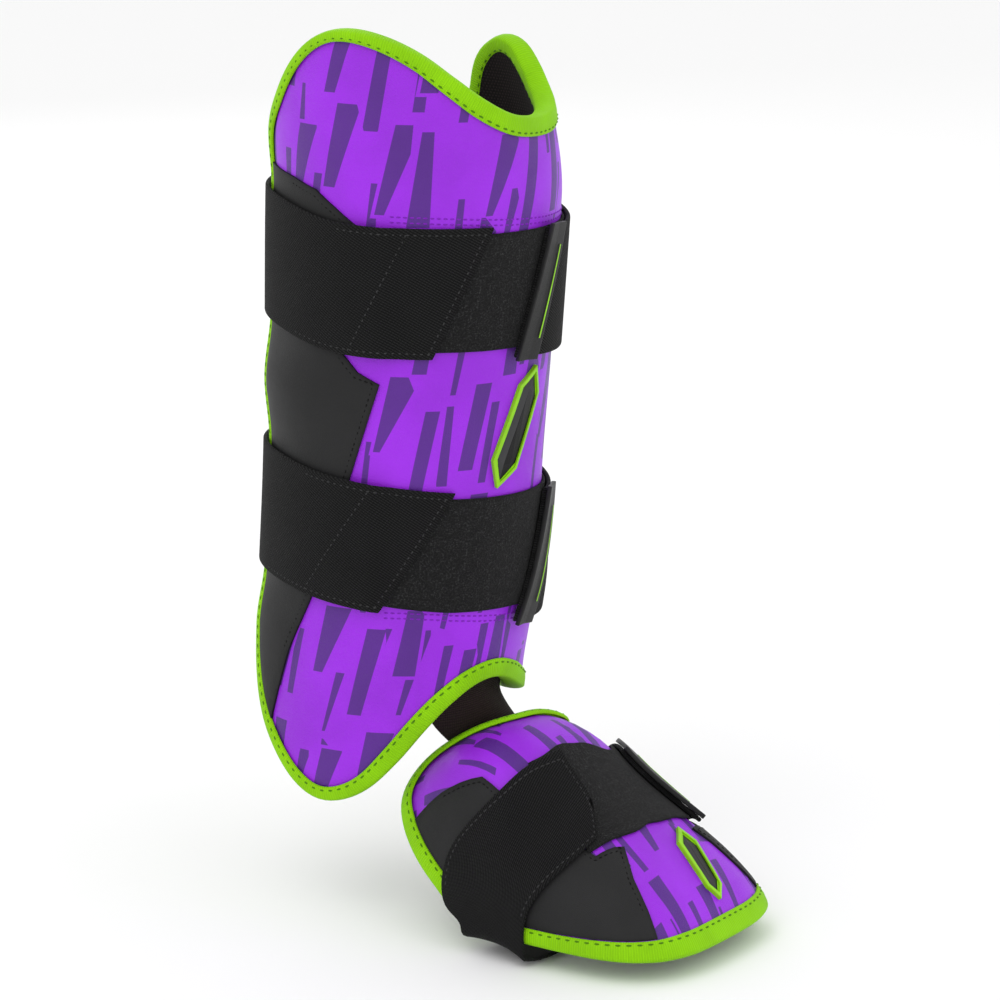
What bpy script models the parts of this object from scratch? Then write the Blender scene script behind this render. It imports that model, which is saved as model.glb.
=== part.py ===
"""Batter's guard for a right leg, as worn: a padded shin shell on two straps, and a foot guard below it.

Metres, +Z up. The origin is on the leg's axis half way up the shin shell, between its two straps.
The toes point to -Y, the outer side of the leg is -X and the inner side is +X.

The pieces lie in layers on two base surfaces, the leg and the top of the foot. A place on the leg is
an angle round its axis, in degrees from the front and rising towards the outer side, and a height.
A place on the foot is a pair of shares of a disc: 0, 0 is the top of the dome and its edge is the sole.
"""

import math
from collections import namedtuple

import bmesh
import bpy
from mathutils import Vector
from mathutils.geometry import delaunay_2d_cdt

# Shin shell
SHELL_HEIGHT = 0.350
LEG_WIDTH = 0.120
LEG_DEPTH = 0.131
SHELL_WALL = 0.006
LINING_WALL = 0.0010

# Foot guard
LOBE_TO_SOLE = 0.0565
FOOT_AHEAD = 0.120
FOOT_WIDTH = 0.118
TOE_REACH = 0.058
HEEL_REACH = 0.125
FOOT_HEIGHT = 0.104
FOOT_WALL = 0.005
RIM_HEIGHT = 0.0115

# Trim
BINDING_WIDTH = 0.0072
BINDING_WALL = 0.0012
PANEL_WALL = 0.0010
BADGE_WALL = 0.0016
SHIN_BADGE_LENGTH = 0.057
SHIN_BADGE_WIDTH = 0.0150
FOOT_BADGE_LENGTH = 0.038
FOOT_BADGE_WIDTH = 0.0110

# Straps
STRAP_WIDTH = 0.058
STRAP_WALL = 0.0020
LANDING_WIDTH = 0.052
LANDING_WALL = 0.0013
TAB_WIDTH = 0.0115
TAB_WALL = 0.0022
TAB_OVERHANG = 0.0010
ELASTIC_WALL = 0.0014

# Clearances between pieces that touch
GAP = 0.0005
END_GAP = 0.0009
ELASTIC_GAP = 0.0012

# Spacing of the mesh, and of the points round a bound edge
ANGLE_STEP = 7.2
HEIGHT_STEP = 0.026
DISC_STEP = 0.078
BAND_STEP = 8.2
BAND_COLUMNS = 6
LEG_BAND_ROWS = 3
ELASTIC_COLUMNS = 12
ELASTIC_SHIN_ROWS = 3
SHIN_STATIONS = 116
FOOT_STATIONS = 76

Section = namedtuple("Section", "height width depth lean")
Ridge = namedtuple("Ridge", "ahead height")
ShinEdge = namedtuple("ShinEdge", "angle height binding")
FootEdge = namedtuple("FootEdge", "inner rear binding")
ShinSpot = namedtuple("ShinSpot", "angle height")
FootSpot = namedtuple("FootSpot", "inner rear")
StrapPath = namedtuple("StrapPath", "angle height")
StrapRow = namedtuple("StrapRow", "rear_inner rear_rear front_inner front_rear")
SoleRow = namedtuple("SoleRow", "across rear front")
ElasticRow = namedtuple("ElasticRow", "angle height over_inner over_rear under_inner under_rear")
Surface = namedtuple("Surface", "base side step_u step_v")

# Leg sections: heights and forward leans are shares of SHELL_HEIGHT, widths and depths of the leg's own
LEG_SECTIONS = (
    Section(-0.52, 0.958, 0.977, -0.0371),
    Section(-0.36, 0.965, 0.985, -0.0243),
    Section(-0.25, 0.978, 0.988, -0.0137),
    Section(-0.10, 0.990, 0.972, -0.0051),
    Section(0.05, 1.005, 0.992, 0.0043),
    Section(0.28, 1.033, 1.015, 0.0163),
    Section(0.50, 1.025, 1.008, 0.0286),
)

# The front and inner side turn in a little at both ends: (start, end) heights and depth as shares
TOP_TUCK = (0.25, 0.47, 0.033)
BOTTOM_TUCK = (-0.22, -0.39, 0.0090)
TUCK_OUTER_ANGLES = (30.0, -10.0)
TUCK_INNER_ANGLES = (-130.0, -85.0)

# Each strap pulls the pad in at its outer rear edge: depth, middle angle, angles from there where the
# pull starts and is full, distances from the strap's middle as shares of its width, and the middles
STRAP_PULL = 0.0025
PULL_ANGLE = 143.0
PULL_TURNS = (65.0, 20.0)
PULL_REACHES = (1.00, 0.50)
PULL_HEIGHTS = (0.183, -0.149)

# Edge of the shin shell, from the outer rear edge over the top, down the inner side and back
SHIN_EDGE = (
    ShinEdge(143, 0.250, 0.75),
    ShinEdge(138, 0.337, 0.70),
    ShinEdge(126, 0.389, 0.60),
    ShinEdge(113, 0.436, 0.50),
    ShinEdge(100, 0.466, 0.45),
    ShinEdge(87, 0.476, 0.45),
    ShinEdge(72, 0.469, 0.55),
    ShinEdge(57, 0.449, 0.70),
    ShinEdge(43, 0.419, 0.85),
    ShinEdge(30, 0.391, 0.95),
    ShinEdge(16, 0.371, 1.00),
    ShinEdge(0, 0.363, 1.00),
    ShinEdge(-17, 0.363, 1.00),
    ShinEdge(-33, 0.371, 1.00),
    ShinEdge(-45, 0.386, 0.90),
    ShinEdge(-55, 0.410, 0.80),
    ShinEdge(-66, 0.433, 0.75),
    ShinEdge(-78, 0.439, 0.75),
    ShinEdge(-89, 0.420, 0.75),
    ShinEdge(-95, 0.380, 0.75),
    ShinEdge(-98, 0.310, 0.75),
    ShinEdge(-98, 0.000, 0.75),
    ShinEdge(-98, -0.280, 0.75),
    ShinEdge(-95, -0.342, 0.75),
    ShinEdge(-87, -0.383, 0.75),
    ShinEdge(-73, -0.406, 0.80),
    ShinEdge(-56, -0.411, 0.90),
    ShinEdge(-38, -0.402, 1.00),
    ShinEdge(-20, -0.385, 1.00),
    ShinEdge(-4, -0.362, 1.00),
    ShinEdge(10, -0.350, 1.00),
    ShinEdge(22, -0.355, 1.00),
    ShinEdge(33, -0.377, 1.00),
    ShinEdge(43, -0.409, 1.00),
    ShinEdge(54, -0.452, 0.95),
    ShinEdge(65, -0.488, 0.80),
    ShinEdge(76, -0.507, 0.70),
    ShinEdge(87, -0.510, 0.65),
    ShinEdge(99, -0.493, 0.65),
    ShinEdge(112, -0.459, 0.65),
    ShinEdge(124, -0.420, 0.70),
    ShinEdge(134, -0.371, 0.75),
    ShinEdge(141, -0.305, 0.80),
    ShinEdge(143, -0.230, 0.80),
    ShinEdge(143, 0.000, 0.80),
)

# Front edge of the black panel on the shin's outer side, from the top down
SHIN_PANEL_EDGE = (
    ShinSpot(138.0, 0.298),
    ShinSpot(113.0, 0.290),
    ShinSpot(98.0, 0.280),
    ShinSpot(88.5, 0.262),
    ShinSpot(72.5, 0.228),
    ShinSpot(85.5, 0.084),
    ShinSpot(81.5, 0.072),
    ShinSpot(76.5, 0.055),
    ShinSpot(67.5, 0.041),
    ShinSpot(77.5, -0.076),
    ShinSpot(95.5, -0.249),
    ShinSpot(106.0, -0.325),
    ShinSpot(118.0, -0.436),
)

# Middle of each strap round the leg, from its sewn end at the front to its loose end
UPPER_STRAP_PATH = (
    StrapPath(25, 0.156),
    StrapPath(84, 0.162),
    StrapPath(118, 0.178),
    StrapPath(150, 0.185),
    StrapPath(200, 0.184),
    StrapPath(250, 0.170),
    StrapPath(328, 0.146),
    StrapPath(372, 0.153),
)
LOWER_STRAP_PATH = (
    StrapPath(35, -0.182),
    StrapPath(60, -0.173),
    StrapPath(84, -0.163),
    StrapPath(118, -0.151),
    StrapPath(150, -0.148),
    StrapPath(200, -0.156),
    StrapPath(250, -0.176),
    StrapPath(328, -0.203),
    StrapPath(364, -0.197),
)

# Slanted ends of the straps: angle at the lower edge, angle at the upper edge
UPPER_SEWN_END = (47.4, 25.0)
UPPER_LOOSE_END = (372.5, 356.5)
LOWER_SEWN_END = (64.5, 35.0)
LOWER_LOOSE_END = (364.0, 340.5)
LANDING_INNER_END = -60.0
STRAP_DIP_ANGLES = (60.0, 69.0)

# Height of the foot's ridge: distance ahead as a share of TOE_REACH, height as one of FOOT_HEIGHT
FOOT_RIDGE = (
    Ridge(-1.75, 1.000),
    Ridge(-1.03, 0.962),
    Ridge(-0.62, 0.856),
    Ridge(-0.26, 0.688),
    Ridge(0.17, 0.524),
    Ridge(0.52, 0.418),
    Ridge(0.78, 0.346),
    Ridge(1.00, 0.212),
)
PLAN_POWER = 2.9
WALL_POWER = 2.2

# Rear edge of the foot guard, from the outer side over the instep to the inner side
FOOT_REAR_EDGE = (
    FootEdge(-0.645, 0.615, 0.90),
    FootEdge(-0.550, 0.655, 0.95),
    FootEdge(-0.440, 0.672, 0.95),
    FootEdge(-0.320, 0.660, 0.90),
    FootEdge(-0.215, 0.620, 0.70),
    FootEdge(-0.140, 0.530, 0.50),
    FootEdge(-0.090, 0.410, 0.45),
    FootEdge(-0.030, 0.318, 0.45),
    FootEdge(0.060, 0.285, 0.45),
    FootEdge(0.160, 0.320, 0.45),
    FootEdge(0.260, 0.430, 0.50),
    FootEdge(0.370, 0.530, 0.65),
    FootEdge(0.500, 0.575, 0.80),
    FootEdge(0.620, 0.550, 0.90),
)

# Lower edge of the foot guard: it runs at RIM_HEIGHT, past these directions in degrees
LOWER_EDGE_ANGLES = tuple(range(390, 140, -15))
LOWER_EDGE_BINDING = (0.80, 1.05)

# Upper edges of the foot's black side panels, from the rear to the toe
FOOT_OUTER_PANEL_EDGE = (
    FootSpot(-0.330, 0.600),
    FootSpot(-0.300, 0.510),
    FootSpot(-0.280, 0.380),
    FootSpot(-0.330, 0.340),
    FootSpot(-0.450, 0.190),
    FootSpot(-0.380, -0.070),
    FootSpot(-0.260, -0.100),
    FootSpot(-0.210, -0.120),
    FootSpot(-0.310, -0.235),
    FootSpot(-0.390, -0.370),
    FootSpot(-0.470, -0.490),
)
FOOT_INNER_PANEL_EDGE = (
    FootSpot(0.470, 0.560),
    FootSpot(0.450, 0.450),
    FootSpot(0.470, 0.340),
    FootSpot(0.520, 0.190),
    FootSpot(0.530, -0.040),
    FootSpot(0.460, -0.125),
    FootSpot(0.250, -0.165),
    FootSpot(0.310, -0.235),
    FootSpot(0.390, -0.370),
    FootSpot(0.470, -0.490),
)

# Foot strap: rear and front edge of each row, from its slanted sewn end down to the sole
OUTER_STRAP_ROWS = (
    StrapRow(-0.060, 0.150, -0.320, -0.030),
    StrapRow(-0.200, 0.245, -0.400, -0.020),
    StrapRow(-0.340, 0.340, -0.480, 0.000),
    StrapRow(-0.430, 0.440, -0.580, 0.045),
    StrapRow(-0.490, 0.540, -0.680, 0.110),
    StrapRow(-0.555, 0.610, -0.770, 0.175),
    StrapRow(-0.630, 0.640, -0.850, 0.205),
    StrapRow(-0.715, 0.590, -0.930, 0.200),
    StrapRow(-0.745, 0.610, -0.960, 0.205),
)
INNER_STRAP_ROWS = (
    StrapRow(0.762, 0.593, 0.962, 0.205),
    StrapRow(0.715, 0.560, 0.930, 0.200),
    StrapRow(0.640, 0.600, 0.860, 0.180),
    StrapRow(0.560, 0.580, 0.780, 0.140),
    StrapRow(0.480, 0.490, 0.690, 0.080),
    StrapRow(0.390, 0.390, 0.600, 0.010),
    StrapRow(0.310, 0.290, 0.500, -0.070),
    StrapRow(0.230, 0.200, 0.400, -0.135),
)
FOOT_LANDING_ROWS = (
    StrapRow(-0.040, 0.140, -0.290, -0.065),
    StrapRow(0.030, 0.130, -0.150, -0.090),
    StrapRow(0.100, 0.150, 0.000, -0.100),
    StrapRow(0.180, 0.190, 0.150, -0.105),
    StrapRow(0.270, 0.260, 0.300, -0.110),
    StrapRow(0.370, 0.350, 0.440, -0.080),
)

# Under the sole the foot strap is a web: x as a share of the half width, heights as shares of RIM_HEIGHT
SOLE_STRAP_ROWS = (
    SoleRow(-0.94, 0.46, 0.15),
    SoleRow(-0.84, 0.36, 0.00),
    SoleRow(0.84, 0.36, 0.00),
    SoleRow(0.94, 0.46, 0.15),
)
SOLE_STRAP_REAR = 0.62
SOLE_STRAP_FRONT = 0.91

# Badges: middle, lean from upright in degrees
SHIN_BADGE_SPOT = ShinSpot(6.0, -0.024)
SHIN_BADGE_LEAN = 21.6
FOOT_BADGE_SPOT = FootSpot(0.090, -0.350)
FOOT_BADGE_LEAN = -4.0
BADGE_SHOULDER = 0.62

# Ankle elastic: sewn inside the shin shell at one height, it leaves the shell at each row's angle and
# height, comes down just behind the foot guard's rear edge and is sewn under that edge
ELASTIC_TOP = -0.305
ELASTIC_ROWS = (
    ElasticRow(38.0, -0.412, -0.045, 0.475, -0.150, 0.380),
    ElasticRow(16.0, -0.376, -0.005, 0.375, -0.070, 0.255),
    ElasticRow(-12.0, -0.394, 0.065, 0.335, 0.055, 0.200),
    ElasticRow(-44.0, -0.424, 0.145, 0.375, 0.175, 0.240),
)

SOLE_HEIGHT = min(row.height for row in SHIN_EDGE) * SHELL_HEIGHT - LOBE_TO_SOLE

COLOURS = {
    "purple": (0.354, 0.032, 0.807),
    "lime": (0.262, 0.658, 0.001),
    "lining": (0.007, 0.004, 0.005),
    "charcoal": (0.026, 0.026, 0.026),
    "black": (0.013, 0.013, 0.013),
    "felt": (0.010, 0.010, 0.010),
    "rubber": (0.008, 0.008, 0.008),
}


def clear_scene():
    """Remove every object that is already in the scene."""
    for old in list(bpy.data.objects):
        bpy.data.objects.remove(old, do_unlink=True)


def make_material(name, roughness):
    """Return a plain material in one of the guard's colours."""
    material = bpy.data.materials.new(name)
    material.use_nodes = True
    shader = material.node_tree.nodes["Principled BSDF"]
    shader.inputs["Base Color"].default_value = (*COLOURS[name], 1.0)
    shader.inputs["Roughness"].default_value = roughness
    shader.inputs["Metallic"].default_value = 0.0
    return material


def ease(start, end, value):
    """Rise smoothly from 0 at start to 1 at end; start may be the larger."""
    share = min(1.0, max(0.0, (value - start) / (end - start)))
    return share * share * (3.0 - 2.0 * share)


def read_row(table, column, value):
    """Read a column of a table at a value of its first column, on a smooth curve through the rows."""
    first = max(0, min(len(table) - 2, sum(1 for row in table if row[0] <= value) - 1))
    before = table[max(0, first - 1)]
    left, right = table[first], table[first + 1]
    after = table[min(len(table) - 1, first + 2)]
    span = right[0] - left[0]
    share = min(1.0, max(0.0, (value - left[0]) / span))
    slope_left = (right[column] - before[column]) / (right[0] - before[0])
    slope_right = (after[column] - left[column]) / (after[0] - left[0])
    square, cube = share * share, share ** 3
    return (
        (2 * cube - 3 * square + 1) * left[column]
        + (cube - 2 * square + share) * span * slope_left
        + (3 * square - 2 * cube) * right[column]
        + (cube - square) * span * slope_right
    )


def leg_base(angle, height):
    """Return the point of the leg surface at an angle and a height."""
    share = height / SHELL_HEIGHT
    width = read_row(LEG_SECTIONS, 1, share) * LEG_WIDTH / 2
    depth = read_row(LEG_SECTIONS, 2, share) * LEG_DEPTH / 2
    lean = read_row(LEG_SECTIONS, 3, share) * SHELL_HEIGHT
    tuck = (TOP_TUCK[2] * ease(TOP_TUCK[0], TOP_TUCK[1], share)
            + BOTTOM_TUCK[2] * ease(BOTTOM_TUCK[0], BOTTOM_TUCK[1], share)) * SHELL_HEIGHT
    turn = (angle + 180.0) % 360.0 - 180.0
    tuck *= ease(*TUCK_OUTER_ANGLES, turn) * ease(*TUCK_INNER_ANGLES, turn)
    away = min(abs(share - middle) for middle in PULL_HEIGHTS) * SHELL_HEIGHT / STRAP_WIDTH
    aside = abs((angle - PULL_ANGLE + 180.0) % 360.0 - 180.0)
    tuck += STRAP_PULL * ease(*PULL_REACHES, away) * ease(*PULL_TURNS, aside)
    around = math.radians(angle)
    return Vector((-(width - tuck) * math.sin(around), -lean - (depth - tuck) * math.cos(around), height))


def foot_base(inner, rear):
    """Return the point of the foot surface at a pair of disc shares."""
    radius = math.hypot(inner, rear)
    towards_inner, towards_rear = (inner / radius, rear / radius) if radius > 0 else (0.0, 1.0)
    slope = min(radius, 1.0) * math.pi / 2
    reach = HEEL_REACH if towards_rear > 0 else TOE_REACH
    plan = (abs(towards_inner / (FOOT_WIDTH / 2)) ** PLAN_POWER + abs(towards_rear / reach) ** PLAN_POWER)
    plan = plan ** (-1 / PLAN_POWER) * math.sin(slope) ** (2 / WALL_POWER)
    ahead = -towards_rear * plan
    ridge = read_row(FOOT_RIDGE, 1, ahead / TOE_REACH) * FOOT_HEIGHT
    height = SOLE_HEIGHT + ridge * max(0.0, math.cos(slope)) ** (2 / WALL_POWER)
    return Vector((towards_inner * plan, -FOOT_AHEAD - ahead, height))


LEG = Surface(leg_base, -1, ANGLE_STEP, HEIGHT_STEP)
FOOT = Surface(foot_base, 1, DISC_STEP, DISC_STEP)


def slopes(surface, u, v):
    """Return how fast the surface point moves with u and with v."""
    small_u, small_v = surface.step_u / 50, surface.step_v / 50
    along_u = (surface.base(u + small_u, v) - surface.base(u - small_u, v)) / (2 * small_u)
    along_v = (surface.base(u, v + small_v) - surface.base(u, v - small_v)) / (2 * small_v)
    return along_u, along_v


def outward(surface, u, v):
    """Return the surface's outward normal."""
    along_u, along_v = slopes(surface, u, v)
    return along_u.cross(along_v).normalized() * surface.side


def place(surface, u, v, offset):
    """Return the point at a distance outside the surface, or inside it where the distance is negative."""
    return surface.base(u, v) + outward(surface, u, v) * offset


def shifted(surface, u, v, move):
    """Return the u and v that lie a small move away along the surface."""
    along_u, along_v = slopes(surface, u, v)
    uu, uv, vv = along_u.dot(along_u), along_u.dot(along_v), along_v.dot(along_v)
    mu, mv = along_u.dot(move), along_v.dot(move)
    scale = uu * vv - uv * uv
    return u + (mu * vv - mv * uv) / scale, v + (mv * uu - mu * uv) / scale


def closed_stations(surface, rows, count):
    """Return count evenly spaced (u, v, binding share) stations on a smooth closed curve through rows."""
    dense = []
    total = len(rows)
    for index in range(total):
        a, b, c, d = (Vector(rows[(index + step) % total]) for step in (-1, 0, 1, 2))
        for part in range(8):
            t = part / 8
            curve = 2 * b + (c - a) * t + (2 * a - 5 * b + 4 * c - d) * t * t + (3 * b - a - 3 * c + d) * t ** 3
            dense.append(curve / 2)
    points = [surface.base(spot[0], spot[1]) for spot in dense]
    lengths = [0.0]
    for index, point in enumerate(points):
        lengths.append(lengths[-1] + (points[(index + 1) % len(points)] - point).length)
    stations = []
    index = 0
    for number in range(count):
        goal = lengths[-1] * number / count
        while lengths[index + 1] < goal:
            index += 1
        share = (goal - lengths[index]) / (lengths[index + 1] - lengths[index])
        stations.append(tuple(dense[index].lerp(dense[(index + 1) % len(dense)], share)))
    return stations


def inward_moves(surface, stations):
    """Return, for each station of a closed edge, the unit direction along the surface into the piece."""
    turn = 0.0
    for here, there in zip(stations, stations[1:] + stations[:1]):
        turn += here[0] * there[1] - there[0] * here[1]
    hand = math.copysign(1.0, turn) * surface.side
    moves = []
    total = len(stations)
    for index, (u, v, _) in enumerate(stations):
        before, after = stations[index - 1], stations[(index + 1) % total]
        along = surface.base(after[0], after[1]) - surface.base(before[0], before[1])
        moves.append(outward(surface, u, v).cross(along).normalized() * hand)
    return moves


def inset_spots(surface, stations, clearance):
    """Return the (u, v) loop that lies inside an edge by its binding's width and a clearance."""
    spots = []
    for (u, v, share), move in zip(stations, inward_moves(surface, stations)):
        spots.append(shifted(surface, u, v, move * (share * BINDING_WIDTH + clearance)))
    return spots


def add_object(name, mesh_edit, material):
    """Turn an edited mesh into a named object with outward faces."""
    bmesh.ops.triangulate(mesh_edit, faces=mesh_edit.faces, quad_method="SHORT_EDGE")
    bmesh.ops.recalc_face_normals(mesh_edit, faces=mesh_edit.faces)
    mesh = bpy.data.meshes.new(name)
    mesh_edit.to_mesh(mesh)
    mesh_edit.free()
    mesh.shade_smooth()
    mesh.set_sharp_from_angle(angle=math.radians(40))
    mesh.materials.append(material)
    piece = bpy.data.objects.new(name, mesh)
    bpy.context.scene.collection.objects.link(piece)
    return piece


def is_inside(spot, loop):
    """Tell whether a flat spot lies inside a flat loop."""
    inside = False
    for start, end in zip(loop, loop[1:] + loop[:1]):
        if (start[1] > spot[1]) != (end[1] > spot[1]):
            cross = start[0] + (spot[1] - start[1]) * (end[0] - start[0]) / (end[1] - start[1])
            inside ^= spot[0] < cross
    return inside


def distance_to_loop(spot, loop):
    """Return a flat spot's distance to a flat loop's sides."""
    nearest = math.inf
    for start, end in zip(loop, loop[1:] + loop[:1]):
        side = end - start
        share = min(1.0, max(0.0, (spot - start).dot(side) / max(side.length_squared, 1e-12)))
        nearest = min(nearest, (spot - start - side * share).length)
    return nearest


def add_sheet(name, surface, outline, low, high, material, coarse=1.0, ring=()):
    """Make a sheet that follows a surface inside an outline, from one offset to another.

    Its mesh also follows the ring, the loop inside the outline where a binding ends. The mesh is
    coarser along u by the factor coarse.
    """
    step_u, step_v = surface.step_u * coarse, surface.step_v
    corners = [Vector((u / step_u, v / step_v)) for u, v in outline]
    loop = []
    for start, end in zip(corners, corners[1:] + corners[:1]):
        pieces = max(1, math.ceil((end - start).length / 1.2))
        loop.extend(start.lerp(end, part / pieces) for part in range(pieces))
    within = [Vector((u / step_u, v / step_v)) for u, v in ring]
    spots = loop + within
    sides = [(index, (index + 1) % len(loop)) for index in range(len(loop))]
    sides += [(len(loop) + index, len(loop) + (index + 1) % len(within)) for index in range(len(within))]
    limit = within or loop
    lows = [math.floor(min(spot[axis] for spot in loop)) for axis in (0, 1)]
    highs = [math.ceil(max(spot[axis] for spot in loop)) for axis in (0, 1)]
    for row in range(lows[1], highs[1] + 1):
        for column in range(lows[0], highs[0] + 1):
            spot = Vector((float(column), float(row)))
            if is_inside(spot, limit) and distance_to_loop(spot, limit) > 0.45:
                spots.append(spot)
    flat, _, faces, *_ = delaunay_2d_cdt(spots, sides, [], 1, 1e-6)
    mesh_edit = bmesh.new()
    layers = []
    for offset in (low, high):
        layers.append([mesh_edit.verts.new(place(surface, x * step_u, y * step_v, offset)) for x, y in flat])
    for face in faces:
        mesh_edit.faces.new([layers[1][index] for index in face])
        mesh_edit.faces.new([layers[0][index] for index in reversed(face)])
    rim = [edge for edge in mesh_edit.edges if edge.is_boundary]
    bmesh.ops.bridge_loops(mesh_edit, edges=rim)
    return add_object(name, mesh_edit, material)


def add_grid(name, low_rows, high_rows, material):
    """Make a closed solid between two grids of points."""
    mesh_edit = bmesh.new()
    low = [[mesh_edit.verts.new(point) for point in row] for row in low_rows]
    high = [[mesh_edit.verts.new(point) for point in row] for row in high_rows]
    rows, columns = len(low), len(low[0])
    for i in range(rows - 1):
        for j in range(columns - 1):
            mesh_edit.faces.new((high[i][j], high[i + 1][j], high[i + 1][j + 1], high[i][j + 1]))
            mesh_edit.faces.new((low[i][j + 1], low[i + 1][j + 1], low[i + 1][j], low[i][j]))
    for i in range(rows - 1):
        mesh_edit.faces.new((low[i][0], low[i + 1][0], high[i + 1][0], high[i][0]))
        mesh_edit.faces.new((high[i][-1], high[i + 1][-1], low[i + 1][-1], low[i][-1]))
    for j in range(columns - 1):
        mesh_edit.faces.new((high[0][j], high[0][j + 1], low[0][j + 1], low[0][j]))
        mesh_edit.faces.new((low[-1][j], low[-1][j + 1], high[-1][j + 1], high[-1][j]))
    return add_object(name, mesh_edit, material)


def add_binding(name, surface, stations, wall, material):
    """Make the binding: a channel over both faces and the edge of a padded wall."""
    mesh_edit = bmesh.new()
    rings = []
    outer, inner = GAP + BINDING_WALL, -wall - GAP - BINDING_WALL
    for (u, v, share), move in zip(stations, inward_moves(surface, stations)):
        width = share * BINDING_WIDTH
        section = (
            (width, GAP),
            (width, outer),
            (-outer, outer),
            (-outer, inner),
            (width, inner),
            (width, -wall - GAP),
            (-GAP, -wall - GAP),
            (-GAP, GAP),
        )
        ring = []
        for reach, offset in section:
            ring.append(mesh_edit.verts.new(place(surface, *shifted(surface, u, v, move * reach), offset)))
        rings.append(ring)
    for here, there in zip(rings, rings[1:] + rings[:1]):
        for index in range(len(here)):
            after = (index + 1) % len(here)
            mesh_edit.faces.new((here[index], here[after], there[after], there[index]))
    return add_object(name, mesh_edit, material)


def nearest_index(spots, goal, surface):
    """Return the number of the loop spot that lies nearest to a goal."""
    point = surface.base(*goal)
    return min(range(len(spots)), key=lambda index: (surface.base(*spots[index]) - point).length)


def panel_outline(surface, edge, inset):
    """Close a panel's free edge along the loop beside the binding, the shorter way round."""
    first = nearest_index(inset, edge[-1], surface)
    last = nearest_index(inset, edge[0], surface)
    total = len(inset)
    forward, backward = (last - first) % total, (first - last) % total
    step = 1 if forward < backward else -1
    along = [inset[(first + step * number) % total] for number in range(min(forward, backward) + 1)]
    return list(edge[1:-1]) + along


def arc_degrees(length):
    """Return the angle that a length covers round the leg."""
    return math.degrees(length / ((LEG_WIDTH + LEG_DEPTH) / 4))


def mix(pair, share):
    """Return the value a share of the way from the first of a pair to the second."""
    return pair[0] + (pair[1] - pair[0]) * share


def leg_band(starts, ends, middle, width, low, wall):
    """Return the low and high grids of a band round the leg between two slanted ends."""
    low_rows, high_rows = [], []
    count = math.ceil(max(abs(end - start) for start, end in zip(starts, ends)) / BAND_STEP)
    for column in range(count + 1):
        low_row, high_row = [], []
        for row in range(LEG_BAND_ROWS + 1):
            up = row / LEG_BAND_ROWS
            angle = mix((mix(starts, up), mix(ends, up)), column / count)
            height = middle(angle) + (up - 0.5) * width
            low_row.append(place(LEG, angle, height, low(angle)))
            high_row.append(place(LEG, angle, height, low(angle) + wall))
        low_rows.append(low_row)
        high_rows.append(high_row)
    return low_rows, high_rows


def strap_low():
    """Return how far the straps lie off the shell: they pass over landing, binding and panel."""
    return max(LANDING_WALL, BINDING_WALL, PANEL_WALL) + 2 * GAP


def add_leg_strap(name, path, sewn_end, loose_end, materials):
    """Make one strap round the leg with its landing and its pull tab."""
    def middle(angle):
        return read_row(path, 1, angle) * SHELL_HEIGHT

    def dip(angle):
        return mix((GAP, strap_low()), ease(*STRAP_DIP_ANGLES, angle))

    grids = leg_band(sewn_end, loose_end, middle, STRAP_WIDTH, dip, STRAP_WALL)
    add_grid(name + "_strap", *grids, materials["black"])

    gap = arc_degrees(END_GAP)
    inner_end = (LANDING_INNER_END, LANDING_INNER_END)
    front = (middle(min(sewn_end)), middle(LANDING_INNER_END + 360.0))

    def landing_middle(angle):
        return mix(front, (min(sewn_end) - angle) / (min(sewn_end) - LANDING_INNER_END))

    narrower = LANDING_WIDTH / STRAP_WIDTH / 2
    landing_start = tuple(mix(sewn_end, 0.5 + side * narrower) - gap for side in (-1, 1))
    grids = leg_band(landing_start, inner_end, landing_middle, LANDING_WIDTH, lambda angle: GAP, LANDING_WALL)
    add_grid(name + "_landing", *grids, materials["felt"])

    tab_low = strap_low() + STRAP_WALL + GAP
    tab_start = tuple(angle - arc_degrees(TAB_WIDTH - TAB_OVERHANG) for angle in loose_end)
    tab_end = tuple(angle + arc_degrees(TAB_OVERHANG) for angle in loose_end)
    grids = leg_band(tab_start, tab_end, middle, STRAP_WIDTH + 2 * TAB_OVERHANG, lambda angle: tab_low, TAB_WALL)
    add_grid(name + "_pull_tab", *grids, materials["rubber"])


def finer(rows):
    """Return strap rows with one more, evenly mixed, between each two."""
    result = [rows[0]]
    for here, there in zip(rows, rows[1:]):
        result.append(StrapRow(*(mix(pair, 0.5) for pair in zip(here, there))))
        result.append(there)
    return result


def foot_rows(rows, low, wall):
    """Return the low and high grids of a band across the foot, a row at a time."""
    low_rows, high_rows = [], []
    for row in finer(rows):
        shares = [part / BAND_COLUMNS for part in range(BAND_COLUMNS + 1)]
        spots = [(mix((row.rear_inner, row.front_inner), share),
                  mix((row.rear_rear, row.front_rear), share)) for share in shares]
        low_rows.append([place(FOOT, *spot, low) for spot in spots])
        high_rows.append([place(FOOT, *spot, low + wall) for spot in spots])
    return low_rows, high_rows


def sole_rows():
    """Return the grids of the foot strap's web under the sole; its outer face is the lower one."""
    low_rows, high_rows = [], []
    for row in SOLE_STRAP_ROWS:
        low_row, high_row = [], []
        for part in range(BAND_COLUMNS + 1):
            share = part / BAND_COLUMNS
            x = row.across * FOOT_WIDTH / 2
            y = -mix((SOLE_STRAP_REAR, SOLE_STRAP_FRONT), share) * FOOT_AHEAD
            z = SOLE_HEIGHT + mix((row.rear, row.front), share) * RIM_HEIGHT
            high_row.append(Vector((x, y, z)))
            low_row.append(Vector((x, y, z + STRAP_WALL)))
        low_rows.append(low_row)
        high_rows.append(high_row)
    return low_rows, high_rows


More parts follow.
